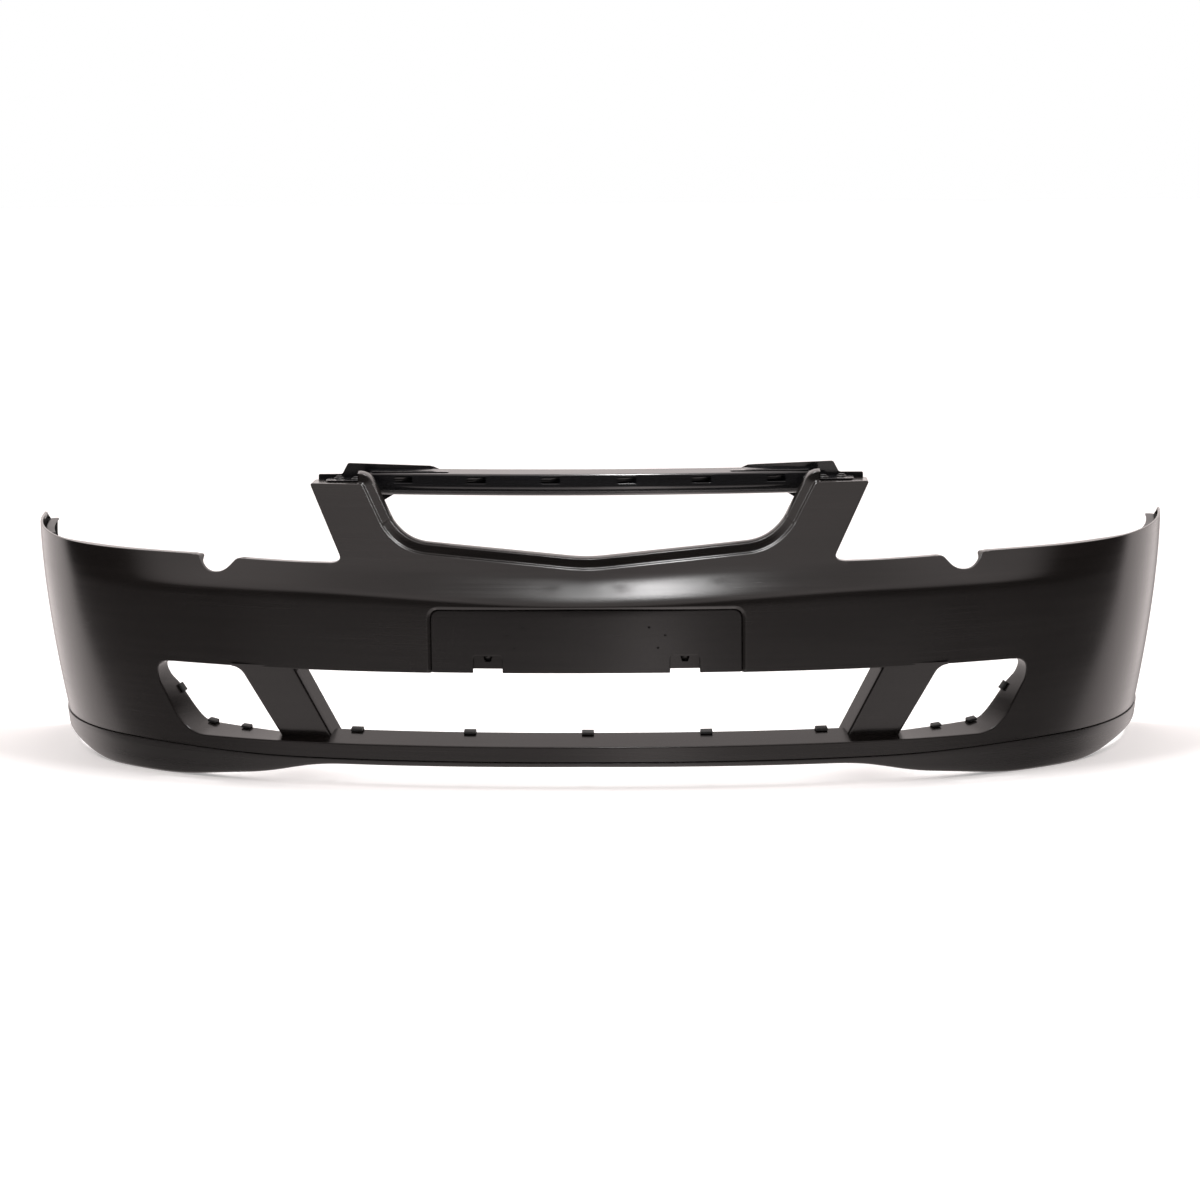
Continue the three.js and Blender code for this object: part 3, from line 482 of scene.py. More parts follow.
def sheet(build, surface, loops, interior, wall=WALL, keep=2.5):
    """Adds a moulded sheet of a given wall. Each loop is a list of Edges with the sheet on their left.
    Interior points nearer to a border than keep are left out."""
    borders = [np.concatenate([edge.line for edge in loop]) for loop in loops]
    sides = [mitres(border) for border in borders]
    insets = [np.concatenate([edge.sections[:, 0, :1] for edge in loop]) for loop in loops]
    skins = [border + side * inset for border, side, inset in zip(borders, sides, insets)]
    flat = np.concatenate(skins)
    tree = KDTree(len(flat))
    for i, p in enumerate(flat):
        tree.insert((p[0], p[1], 0), i)
    tree.balance()
    interior = np.asarray(interior, float).reshape(-1, 2)
    interior = interior[inside(interior, skins)]
    interior = [p for p in interior if tree.find((p[0], p[1], 0))[2] > keep]
    ab = np.concatenate([flat, np.array(interior).reshape(-1, 2)])
    edges, starts = [], np.cumsum([0, *map(len, skins[:-1])]).tolist()
    for border, first in zip(skins, starts):
        n = len(border)
        links = [(first + i, first + (i + 1) % n) for i in range(n)]
        edges += [(i, j) for i, j in links if np.linalg.norm(ab[i] - ab[j]) > 1e-4]
    mesh = delaunay_2d_cdt([Vector(p) for p in ab], edges, [], 0, 1e-4, True)
    coords, lines, triangles, origins, sources, _ = mesh
    coords = np.array([[c.x, c.y] for c in coords])
    borders_found = {tuple(sorted(line)) for line, source in zip(lines, sources) if source}
    triangles = enclosed(coords, np.array(triangles), borders_found, skins)
    found = np.zeros(len(ab), int)
    for new, olds in enumerate(origins):
        found[list(olds)] = new
    normals = surface_normals(surface, coords)
    points = surface(coords[:, 0], coords[:, 1])
    outer = build.add(points, normals)
    inner = build.add(points - normals * wall, -normals)
    for a, b, c in triangles:
        build.face(*outer[[a, b, c]])
        build.face(*inner[[c, b, a]])
    for loop, border, side, start in zip(loops, borders, sides, starts):
        ids = found[start + np.arange(len(border))]
        corner = surface(border[:, 0], border[:, 1])
        into = points[ids] - corner
        into = unit(into) * np.linalg.norm(side, axis=1)[:, None]
        sections = np.concatenate([edge.sections for edge in loop])
        ways, aways, at = [], [], 0
        for edge in loop:
            part = slice(at, at + len(edge.line))
            at += len(edge.line)
            ways.append(-normals[ids[part]] if edge.way is None else edge.way)
            along = unit(np.gradient(edge.line, axis=0))
            level = np.stack([-along[:, 1], np.zeros(len(along)), along[:, 0]], 1)
            aways.append(level if edge.level else into[part])
        way, away = np.concatenate(ways), np.concatenate(aways)
        rows = [outer[ids]]
        for k in range(1, PROFILE_POINTS - 1):
            t, d = sections[:, k, :1], sections[:, k, 1:]
            rows.append(build.add(corner + np.where(t > 0, into, away) * t + way * d))
        rows.append(inner[ids])
        build.grid(rows[::-1], closed_rows=True)


# ---- fascia ----
def u_at(t, z):
    """u of the surface point at plan angle t and height z."""
    x = on_wing(t, z)[..., 0]
    return np.where(x > TURN, TURN + wing_share(t, z) * (HALF - TURN), x)


def top_z(f):
    """Height of the top edge a fraction of the way round, with its climb and rounded corner at the arch."""
    x, y = plan(f * arch_angle(WING["z1"]))
    past = np.maximum(0, (np.abs(f) - 1 + CORNER["share"]) / CORNER["share"]) * CORNER["r"]
    drop = CORNER["r"] - np.sqrt(np.maximum(0, CORNER["r"] ** 2 - past**2))
    return top_edge_z(x) + CORNER["rise"] * ease(CORNER["a"], CORNER["b"], y) - drop


def top_line(x_end):
    """Top edge of the right wing from the wheel arch inwards, in u and z."""
    corner = 1 - CORNER["share"]
    rounding = corner + CORNER["share"] * np.sin(np.linspace(np.pi / 2, 0, 9)[:-1])
    f = np.concatenate([rounding, np.linspace(corner, 0.4, 130)])
    z = top_z(f)
    u = u_at(f * arch_angle(z), z)
    end = seen(np.array([[x_end, float(top_edge_z(x_end))]]))
    line = np.stack([u, z], 1)
    return np.concatenate([line[u > end[0, 0] + 2], end])


def seam_line():
    """Edge that meets the lip, from the middle to the right wheel arch."""
    f = np.linspace(0, 1, 220)
    z = seam_z(plan(f * arch_angle(ARCH["z"]))[0]) + GAP
    return np.stack([u_at(f * arch_angle(z), z), z], 1)


def inwards(line):
    """Level direction into the cover at each point of a line on its surface."""
    u, z = np.abs(line[:, 0]), line[:, 1]
    t = np.where(u > TURN, wing_angle(u, z), angle_seen_at(np.minimum(u, TURN), z))
    nx, ny = outward(t)
    return np.stack([-nx * np.where(line[:, 0] < 0, -1, 1), -ny, np.zeros_like(nx)], 1)


def rear_edge():
    """Outer edge from the left headlamp notch round both arches and the seam to the right notch."""
    seam, top = seam_line(), top_line(NOTCH_REACH[0])
    arch_z = np.linspace(seam[-1, 1] + 4, top[0, 1] - 1, 60)
    arch = np.stack([np.full_like(arch_z, HALF), arch_z], 1)
    short = ease(top[0, 1] - 22, top[0, 1] + 4, arch_z)
    thin = ease(TOP["thin_a"], TOP["thin_b"], np.abs(skin(top[:, 0], top[:, 1])[:, 0]))
    lengths = [np.full(len(seam) - 1, SEAM["flange"]), mix(ARCH["flange"], ARCH["top_flange"], short),
               mix(TOP["flange"], TOP["wing_flange"], thin)[1:]]
    right = np.concatenate([seam[:-1], arch, top[1:]])
    lengths = np.convolve(np.pad(np.concatenate(lengths), 3, "edge"), np.ones(7) / 7, "valid")
    line = np.concatenate([mirror(right)[:-1], right])
    sections = [flange(n) for n in np.concatenate([lengths[::-1][:-1], lengths])]
    way = inwards(line)
    corner = len(seam) - 1 + len(arch)
    at = np.arange(len(right))
    droop = 0.7 * ease(corner - 8, corner + 2, at) * (1 - ease(corner + 5, corner + 20, at))
    way[:, 2] -= np.concatenate([droop[::-1][:-1], droop])
    return Edge(line, sections, unit(way))


def notch_edge():
    tops = [(x, float(top_edge_z(x))) for x in (*NOTCH_REACH, *NOTCH_ENDS)]
    line = rounded([(*tops[0], 0), (*tops[2], 5), (588, 319, (19, 17)), (556, 319, (15, 14)), (*tops[3], 5),
                    (*tops[1], 0)], step=3)
    high = ease(330, 342, line[:, 1])
    line = seen(line)
    return Edge(line, [flange(n) for n in mix(6.0, TOP["flange"], high)], inwards(line))


def post_edge():
    """Top edge from the headlamp notch to a post, up the post's side and over its top."""
    x = np.linspace(NOTCH_REACH[1], 396, 30)
    start = [(a, float(top_edge_z(a)), 0) for a in x]
    foot = [(368, float(top_edge_z(390)), (25, 14))]
    tip = [(POST["tip_out"], POST["tip_z"], 5), (POST["tip_in"] + 8, POST["tip_z"], 0)]
    line = seen(rounded([*start, *foot, *tip], step=4))
    deep = POST["ledge_back"] - skin(line[:, 0], line[:, 1])[:, 1]
    length = mix(TOP["flange"], deep, ease(POST["tip_z"] - 5, POST["tip_z"] - 0.5, line[:, 1]))
    turned_in = ease(480, 430, line[:, 0])[:, None]
    way = mix(inwards(line), np.array([0, 1.0, 0]), turned_in)
    return Edge(line, [flange(n) for n in length], unit(way))


def grille_edge():
    """Stepped edge of the grille opening, from post to post."""
    right = [(POST["tip_in"] + 8, POST["tip_z"], 0), (POST["tip_in"] + 1, POST["tip_z"], 4), (312, 391, 0),
             (285, 354, (45.8, 45)), (110, 338.3, 10)]
    left = [(-x, z, r[::-1] if isinstance(r, tuple) else r) for x, z, r in right[::-1]]
    line = rounded([*right, (0, 328, 30), *left], step=4)
    return Edge(line, RABBET, [0, 1, 0], level=True)


def flipped(edge):
    """Mirror image of an edge."""
    return Edge(mirror(edge.line), edge.sections[::-1], edge.way[::-1] * [-1, 1, 1])


def fog_front():
    return rounded([(425, 66, 0), (624, 66, (34, 47)), (664, 146, 0), (671, 177, (31, 19)), (640, 179, 0)],
                   step=4)


def fog_rear():
    return rounded([(425, 70, 0), (578, 79, 0), (602, 84, (10, 34)), (648, 150, 0), (656, 174, (20, 17)),
                    (634, 179, 0)], step=4)


def opening_edge():
    """Edge of the lower opening, clockwise from one corner of the plate aperture to the other."""
    half, deep = PLATE["half"] + PLATE["chamfer"], LOWER["depth"]
    tops, fogs, shelves = 89, 110, 69  # points on the top, round the fog lamp opening and along the shelf
    fog, end = tops, tops + fogs  # where the fog lamp opening's points start and stop
    top = np.stack([np.linspace(half, 640, tops + 1)[:-1], np.full(tops, LOWER["top"])], 1)
    front = reach(fog_front()[::-1], fogs)
    rear = reach(fog_rear()[::-1], fogs)
    shelf = np.stack([np.linspace(425, 0, shelves + 1)[1:], np.full(shelves, LOWER["bottom"])], 1)
    inset = np.concatenate([np.zeros((tops, 2)), rear - front, np.zeros((shelves, 2))])
    depth = np.repeat([LOWER["top_flange"], deep - LOWER["fog_less"], deep], (tops, fogs, shelves))
    inset[fog : fog + 21] *= np.linspace(0, 1, 21)[:, None] ** 0.5
    depth[fog - 9 : fog + 21] = mix(LOWER["top_flange"], depth[fog + 21], np.linspace(0, 1, 30))
    inset[end:, 1] = LOWER["inset"]
    inset[end - 14 : end + 6, 1] = mix(inset[end - 15, 1], LOWER["inset"], np.linspace(0, 1, 20))
    right = np.concatenate([top, front, shelf])
    way = np.stack([inset[:, 0], depth, inset[:, 1]], 1)
    length = np.linalg.norm(way, axis=1)
    way /= length[:, None]
    right = seen(right)
    line = np.concatenate([right, mirror(right)[1:]])
    way = np.concatenate([way, (way[::-1] * [-1, 1, 1])[1:]])
    return Edge(line, [flange(n) for n in [*length, *length[::-1][1:]]], way)


def aperture_edge():
    """Edge of the number plate aperture, over its top from the left to the right."""
    grown = PLATE["chamfer"]
    half, top, r = PLATE["half"] + grown, PLATE["top"] + grown, PLATE["corner"] + grown
    corners = [(-half, LOWER["top"], 0), (-half, top, r), (half, top, r), (half, LOWER["top"], 0)]
    return Edge(rounded(corners, fine=9), APERTURE, [0, 1, 0], level=True)


def skin_points():
    """Points inside the fascia's outline: columns along it, with rows close together at its creases."""
    points = []
    for u in np.arange(-HALF + 4, HALF, 7.5):
        x = skin(np.array([u]), np.array([300.0]))[0, 0]
        nose = float(nose_z(x))
        close = nose + np.array([-14, -9, -6, -4, -2, 0, 2, 4, 6, 9, 14])
        top = float(shelf_top_z(x)) + np.array([-8, -5, -3, -1.5, 0, 1.5, 3, 5, 8])
        rows = [z for z in np.arange(50, 470, 8) if abs(z - nose) > 18]
        if abs(x) < SURROUND["end"]:
            rows = [z for z in rows if abs(z - top[4]) > 11]
            close = [*close, *top]
        rows += list(close)
        points += [(u, z) for z in rows]
    return points


def fascia():
    build = Build()
    notch, post = notch_edge(), post_edge()
    outline = [rear_edge(), notch, post, grille_edge(), flipped(post), flipped(notch)]
    sheet(build, skin, [outline, [aperture_edge(), opening_edge()]], skin_points())
    return build


# ---- other parts of the fascia ----
def offset(path, distance):
    """Open plane path moved to its left."""
    d = unit(np.gradient(path, axis=0))
    return path + np.stack([-d[:, 1], d[:, 0]], 1) * distance


def thickened(path, wall):
    """Closed outline of a wall along a plane path, its thickness to the left."""
    return np.concatenate([path, offset(path, wall)[::-1]])


def pillar(side):
    """Slanted pillar across the lower opening: a front plate with a wall at each edge."""
    build, rings = Build(), []
    p = PILLAR
    bend = LOWER["top"] - p["fillet"]
    heights = [*np.linspace(p["foot"], bend, 22)[:-1],
               *(bend + p["fillet"] * np.sin(np.linspace(0, np.pi / 2, 9))), LOWER["top"] + 4]
    for z in heights:
        up = (z - LOWER["bottom"]) / (LOWER["top"] - LOWER["bottom"])
        past = np.clip(z - bend, 0, p["fillet"])
        flare = p["fillet"] - np.sqrt(p["fillet"] ** 2 - past**2)
        x0, x1 = mix(p["low_in"], p["top_in"], up), mix(p["low_out"], p["top_out"], up) + flare
        y0 = float(on_front(x0, z)[1]) + mix(p["low_set"], p["top_set"], up)
        y1 = y0 + (x1 - x0) * p["slope"]
        corners = [(x0 - p["spread"], y0 + p["inner"], 0), (x0, y0, 4), (x1, y1, 4), (x1, y1 + p["outer"], 0)]
        ring = thickened(rounded(corners, fine=7, straight=4), WALL)
        rings.append(np.column_stack([ring[:, 0] * side, ring[:, 1], np.full(len(ring), z)]))
    build.loft(rings)
    return build


def rectangle(a0, a1, b0, b1, r=0.0, step=5.0):
    return rounded([(a0, b0, r), (a1, b0, r), (a1, b1, r), (a0, b1, r)], closed=True, step=step)


def lattice(a0, a1, b0, b1, step_a=8.0, step_b=8.0):
    return [(a, b) for a in np.arange(a0, a1, step_a) for b in np.arange(b0, b1, step_b)]


def circle(a, b, r, count=20):
    """Clockwise ring of points, as the edge of a hole."""
    turn = -np.linspace(0, 2 * np.pi, count, endpoint=False)
    return np.stack([a + r * np.cos(turn), b + r * np.sin(turn)], 1)


def plate_strip():
    """Strip behind the panel's lower edge, with the two slots that the lower grille hooks into."""
    build = Build()
    half, low, high, slot = PLATE["half"] + 1, STRIP["low"], STRIP["high"], STRIP["slot"]
    foot = Edge(reach(np.array([(-half, low), (half, low)]), 90), flange(STRIP["flange"]), [0, 1, 0])
    rest = Edge(np.array([*reach(np.array([(half, low), (half, high)]), 5),
                          *reach(np.array([(half, high), (-half, high)]), 90)[1:],
                          *reach(np.array([(-half, high), (-half, low)]), 5)[1:]]), rim())
    slots = []
    for x in (-NOTCH["x"], NOTCH["x"]):
        corners = [(x - 6.5, slot + 4, 1), (x - 4, slot - 4, 1), (x + 4, slot - 4, 1), (x + 6.5, slot + 4, 1)]
        slots.append([Edge(rounded(corners, True, 2)[::-1], flange(10, 2.0, 0.6))])
        backing(build, on_front(x, slot, PLATE["rebate"] + 9), 8.5, 5.5, 2.0)

    def surface(x, z):
        return on_front(x, z, PLATE["rebate"])

    sheet(build, surface, [[foot, rest], *slots], lattice(-half, half, low + 3, high, 8, 5))
    return build


# ---- lip, panel and grille carrier ----
def lip_low(x):
    """Height of the lip's lower edge."""
    return np.mean([np.interp(np.abs(x) + d, *LIP_EDGE) for d in np.linspace(-30, 30, 13)])


def lip():
    """Channel under the seam, deepest at the corners, where it stands on the ground."""
    build, rings = Build(), []
    half = np.concatenate([np.linspace(0, 0.9, 130), np.linspace(0.9, 1, 40)[1:]])
    for f in np.concatenate([-half[::-1][:-1], half]):
        x = float(plan(f * arch_angle(SEAM["z"]))[0])
        top, low = float(seam_z(x)), max(0.0, float(lip_low(x)))
        lean, back, proud = 0.12 * (top - low), -LIP["flange"], LIP["proud"]
        bend = min(3.5, (top - low) * 0.4)
        corners = [(back, top, 0), (proud, top, 0.9), (proud - lean, low, bend), (back - lean, low, 0)]
        ring = thickened(rounded(corners, fine=6, straight=4), -LIP["wall"])
        out = float(stand_out(x, SEAM["z"]))
        rings.append(beside(f * arch_angle(ring[:, 1]), out + ring[:, 0], ring[:, 1]))
    build.loft(rings)
    return build


def panel():
    """Shallow tray that fills the plate aperture, with two notches in its lower edge."""
    build = Build()
    half, top, low, r = PLATE["half"] - 0.6, PLATE["top"] - 0.6, PLATE["bottom"] + 0.3, PLATE["corner"]
    wall, x, wide, notch_top = PLATE["wall"], NOTCH["x"], NOTCH["half"], PLATE["bottom"] + NOTCH["height"]
    around = NOTCH["r"]
    notch = [(-wide, low, 1.5), (-wide, notch_top, around), (wide, notch_top, around), (wide, low, 1.5)]
    notches = [(a + k * x, b, c) for k in (-1, 1) for a, b, c in notch]
    corners = [(-half, low, 3), *notches, (half, low, 3), (half, top, r), (-half, top, r)]
    outline = Edge(rounded(corners, closed=True, step=4, fine=7), flange(5.1, wall, 1.1), [0, 1, 0])
    pits = []
    for x, z in [(a * s, b) for a, b in PITS for s in (-1, 1)]:
        pits.append([Edge(circle(x, z, 1.5, 12), flange(2.6, 0.8, 0.5))])
        axes = frame_at(on_front(x, z, PLATE["set"]), (0, 1, 0))
        build.loft([ring(axes, 2.2, 1.9, 16), ring(axes, 2.2, 3.2, 16)])

    def surface(x, z):
        return on_front(x, z, PLATE["set"])

    sheet(build, surface, [[outline], *pits], lattice(-half, half, low, top, 8, 7), wall=wall)
    return build


def carrier_front(x):
    return CARRIER["y"] + CARRIER["bow"] * (x / CARRIER["over"]) ** 2


def carrier_section():
    """Section of the carrier's channel, bottom to top, as (behind its front, height)."""
    c = CARRIER
    return rounded([(28, c["low"], 0), (7, c["low"], 3), (0, c["fold"], 5), (3, c["high"], 3),
                    (c["deep"], c["high"] + 5, 0)], step=2)


def carrier_beam():
    build = Build()
    path = carrier_section()
    length = lengths_along(path)

    def surface(x, q):
        q = np.broadcast_to(q, np.shape(x))
        behind, z = np.interp(q, length, path[:, 0]), np.interp(q, length, path[:, 1])
        return np.stack([x, carrier_front(x) + behind, z], -1)

    low, high = (float(np.interp(z, path[:, 1], length)) for z in (POCKET["low"], POCKET["high"]))
    half = CARRIER["half"]
    loops = [[Edge(rectangle(-half, half, 0, length[-1], 2.0, 2.0), rim(WALL, 0.9))]]
    for i in (-3, -2, -1, 1, 2, 3):
        x = np.sign(i) * (POCKET["first"] + (abs(i) - 1) * POCKET["pitch"])
        hole = rectangle(x - POCKET["half"], x + POCKET["half"], low, high, 1.5, 2.5)[::-1]
        loops.append([Edge(hole, flange(POCKET["depth"] + 1, 2.2, 1.0), [0, 1, 0])])
        middle = [x, float(carrier_front(x)) + POCKET["depth"] + 1, (POCKET["low"] + POCKET["high"]) / 2]
        backing(build, middle, POCKET["half"] + 1.5, 6.5, POCKET["wall"] - 1)
    sheet(build, surface, loops, lattice(-half + 4, half, 1, length[-1], 8, 2.0), keep=1.5)
    return build


def backing(build, middle, half, rise, wall):
    """Plate that closes a blind hole, in front of and behind its middle by half of its wall."""
    corners = rectangle(-half, half, -rise, rise, 0.8, 4)
    ring = np.column_stack([corners[:, 0], np.zeros(len(corners)), corners[:, 1]]) + middle
    build.loft([ring + [0, wall * k, 0] for k in (-0.5, 0.5)])


def flat(build, at, outline, holes=(), wall=WALL, edge=0.8):
    """Flat plate: at(a, b) gives its outer face."""
    loops = [[Edge(outline, rim(wall, edge))]] + [[Edge(hole, rim(wall, 0.5))] for hole in holes]
    low, high = outline.min(0), outline.max(0)
    sheet(build, at, loops, lattice(low[0], high[0], low[1], high[1], 12, 12), wall=wall)


def carrier_end(side):
    """Upright plate, gusset and foot at one end of the carrier."""
    build, c = Build(), CARRIER
    low, high, end = c["low"], c["high"], c["end_y"]
    corners = [(216, low), (300, low), (322, 414), (372, 421), (420, 440), (420, high - 3),
               (383, high - 3), (374, high + 14), (244, high + 9), (226, high + 1), (216, high)]
    upright = rounded([(x, z, 3) for x, z in corners], closed=True, step=4, fine=5)
    flat(build, lambda x, z: np.stack([x, np.full_like(x, end), z], -1), upright)
    foot = rounded([(332, 160, 3), (398, 160, 3), (404, 168, 3), (404, end + 1, 1), (332, end + 1, 1)],
                   True, 4)
    holes = [circle(x, y, RIVET["hole"]) for x, y in RIVETS]
    flat(build, lambda x, y: np.stack([x, y, np.full_like(x, FOOT_TOP)], -1), foot, holes)
    gusset = rounded([(216, 176, 3), (336, 186, 3), (336, end + 1, 1), (216, end + 1, 1)], True, 4)
    flat(build, lambda x, y: np.stack([x, y, np.full_like(x, high + WALL)], -1), gusset)
    return on_side(build, side)


# ---- side retainers and fixings ----
def wing_inside(t, z, n):
    return beside(t, stand_out(WING["x"], z) - n, z)


def retainer():
    """Right side retainer: a stepped strip inside the wing's top edge, with hook windows and a lug."""
    build, r = Build(), RETAINER
    near, far, high = WALL + 1.0, WALL + TOP["wing_flange"] + 1.2, r["high"]
    path = rounded([(near, r["low"], 0), (near, r["step"] - 4, 3), (far, r["step"] + 3, 3), (far, high, 2.5),
                    (far + r["fold"], high, 0)], step=2.5)
    length = lengths_along(path)
    run, wall = r["run"], r["wall"]

    def surface(a, q):
        s = a / run
        n, z = np.interp(q, length, path[:, 0]), np.interp(q, length, path[:, 1])
        top = top_z(mix(0.86, 0.985, s)) - r["below"]
        z = z + (top - high) * np.clip((z - r["step"] - 3) / (high - r["step"] - 3), 0, 1)
        t = mix(angle_at_y(r["a"]), angle_at_y(arch_y(z) - 4.5), s)
        return wing_inside(t, z, n)

    up = float(np.interp(r["step"] + 10, path[:60, 1], length[:60]))
    windows = [rectangle(a - 7, a + 7, up - 4, up + 4, 1.5, 3)[::-1] for a in (28, 63, 98)]
    outline = rectangle(0, run, 0, length[-1], 2.5)
    loops = [[Edge(outline, rim(wall))]] + [[Edge(hole, rim(wall, 0.6))] for hole in windows]
    sheet(build, surface, loops, lattice(2, run, 1, length[-1], 7, 2.5), wall=wall, keep=1.5)

    def lug(n, z):
        p = wing_inside(arch_angle(z), z, n)
        p[..., 1] -= WALL + 1.3
        return p

    outline = rectangle(near + 0.5, ARCH["flange"], r["low"], 346, 2)
    holes = [circle(SCREW["inset"], z, SCREW["hole"], 14) for z in RETAINER_SCREWS]
    flat(build, lug, outline, holes, wall=wall)
    return build


def frame_at(at, up):
    """Axes for a turned piece: a point, and the direction of its axis."""
    up = np.array(up, float) / np.linalg.norm(up)
    side = np.cross(up, [0.0, 1.0, 0.0] if abs(up[1]) < 0.9 else [1.0, 0.0, 0.0])
    side /= np.linalg.norm(side)
    return np.array(at, float), side, np.cross(up, side), up


def ring(axes, radius, height, count=36, hexagon=0.0):
    """Points round an axis; hexagon goes from 0, round, to 1, six-sided."""
    at, a, b, up = axes
    turn = np.linspace(0, 2 * np.pi, count, endpoint=False)
    six = np.cos(np.pi / 6) / np.cos((turn + np.pi / 6) % (np.pi / 3) - np.pi / 6)
    r = radius * mix(1.0, six, hexagon)
    return at + np.outer(r * np.cos(turn), a) + np.outer(r * np.sin(turn), b) + up * height


def rivet_body(x, y, z):
    """Push rivet without its pin, turned from corners given as radius, height and rounding."""
    build = Build()
    axes = frame_at((x, y, z), (0, 0, 1))
    bore, shank, low, head, top = (RIVET[k] for k in ("bore", "shank", "low", "head", "top"))
    section = rounded([(bore, top, 0.3), (head - 0.8, top, 1.4), (head, 0, 0.4), (shank, 0, 0.5),
                       (shank, low, 0.5), (bore, low, 0.3)], closed=True, step=3, fine=4)
    rows = [build.add(ring(axes, r, h)) for r, h in section]
    build.grid(rows, closed_rows=True, closed=True)
    return build


def rivet_pin(x, y, z):
    """Pin of a push rivet, turned in the same way."""
    build = Build()
    axes = frame_at((x, y, z), (0, 0, 1))
    section = rounded([(0.8, -8.8, 0), (2, -8, 0.3), (2, 2, 0.2), (5, 2, 0.4), (4.6, 3.7, 0.7),
                       (2.2, 3.8, 0.2), (1.8, 3.1, 0.2), (0.3, 3.0, 0)], step=3, fine=4)
    build.loft([ring(axes, r, h) for r, h in section])
    return build


def screw(at, axis):
    """Flanged hexagon screw with a pointed shank."""
    build = Build()
    axes = frame_at(at, axis)
    r, thread, low = SCREW["shank"], SCREW["thread"], SCREW["low"]
    shank = [(0.4, low - 1)] + [(r - thread * (k % 2), low + 0.5 * k) for k in range(16)]
    washer = [(r, 0), (5.3, 0), (5.5, 0.25), (5.4, 0.7), (4.4, 1.0)]
    head = [(4.3, 1.05), (4.3, 2.6), (3.9, 3.0)]
    rings = [ring(axes, r, h) for r, h in shank + washer]
    build.loft(rings + [ring(axes, r, h, hexagon=1) for r, h in head])
    return build


def clip(at, along, back, width):
    """U clip pushed onto the rear edge of a wall."""
    build = Build()
    inner, outer, lower, upper, reach_in = WALL / 2 + 1, 3.0, 1.8, 3.6, 9.0
    outline = [(-reach_in, -inner), (1, -inner), (1, inner), (-reach_in, inner),
               (1 - reach_in, inner + upper - 1), (3 - reach_in, inner + upper),
               (outer - 1.5, inner + upper), (outer, inner + upper - 1.5),
               (outer, -inner - lower), (-reach_in, -inner - lower)]
    along = np.asarray(along) / np.linalg.norm(along)
    normal = np.cross(along, back)
    normal /= np.linalg.norm(normal)
    rear = np.cross(normal, along)
    ends = np.array([-0.5, 0.5]) * width
    build.loft([[at + rear * a + normal * b + along * w for a, b in outline] for w in ends])
    return build


def arch_fixing(z):
    lean = (z - ARCH["z"]) / math.sqrt(ARCH["r"] ** 2 - (z - ARCH["z"]) ** 2)
    axis = np.array([0, 1, -lean]) / math.hypot(1, lean)
    return wing_inside(arch_angle(z), z, SCREW["inset"]) + axis * 1.2, axis


def lip_screw_at(x):
    t = angle_at_x(x)
    return beside(t, stand_out(x, SEAM["z"]) - SCREW["inset"], float(seam_z(x)) + WALL + 2 * GAP)


def shelf_clip(x):
    def rear(u):
        p = on_front(float(u), LOWER["bottom"], LOWER["depth"])
        return p + [0, 0, LOWER["inset"] - WALL / 2]

    xs = np.linspace(-430, 430, 20)
    k = int(np.searchsorted(xs, x, side="right"))
    a, b = rear(xs[k - 1]), rear(xs[k])
    at = mix(a, b, (x - a[0]) / (b[0] - a[0]))
    return clip(at, b - a, (0, LOWER["depth"], LOWER["inset"]), 18.0)


def fog_clip(i):
    front, rear = reach(fog_front(), FOG_STEPS + 1), reach(fog_rear(), FOG_STEPS + 1)

    def across(k):
        d = front[min(k + 1, FOG_STEPS)] - front[k - 1]
        return np.array([-d[1], d[0]]) / np.linalg.norm(d)

    def edge(k):
        m = rear[k] - across(k) * WALL / 2
        return np.array([m[0], on_front(*front[k])[1] + LOWER["depth"] - LOWER["fog_less"], m[1]])

    a, b = edge(i), edge(i + 1)
    start = mix(on_front(*front[i], 0.6), on_front(*front[i + 1], 0.6), 0.5)
    at = mix(a, b, 0.5)
    return clip(at, b - a, (at - start) / np.linalg.norm(at - start), 14.0)


# ---- camera ----
def camera():
    data = bpy.data.cameras.new("camera")
    data.lens, data.sensor_width = CAMERA["lens"], CAMERA["sensor"]
    data.clip_end = 100
    obj = add_object("camera", data)
    yaw, pitch, roll = (math.radians(CAMERA[k]) for k in ("yaw", "pitch", "roll"))
    ahead = Vector((math.sin(yaw) * math.cos(pitch), math.cos(yaw) * math.cos(pitch), -math.sin(pitch)))
    level = Vector((math.cos(yaw), -math.sin(yaw), 0))
    upright = level.cross(ahead)
    right = level * math.cos(roll) + upright * math.sin(roll)
    up = upright * math.cos(roll) - level * math.sin(roll)
    turn = Matrix((right, up, -ahead)).transposed().to_4x4()
    obj.matrix_world = Matrix.Translation(Vector(place(CAMERA["at"]))) @ turn
    bpy.context.scene.camera = obj


# ---- materials ----
def new_material(name):
    material = bpy.data.materials.new(name)
    material.use_nodes = True
    return material, material.node_tree, material.node_tree.nodes["Principled BSDF"]


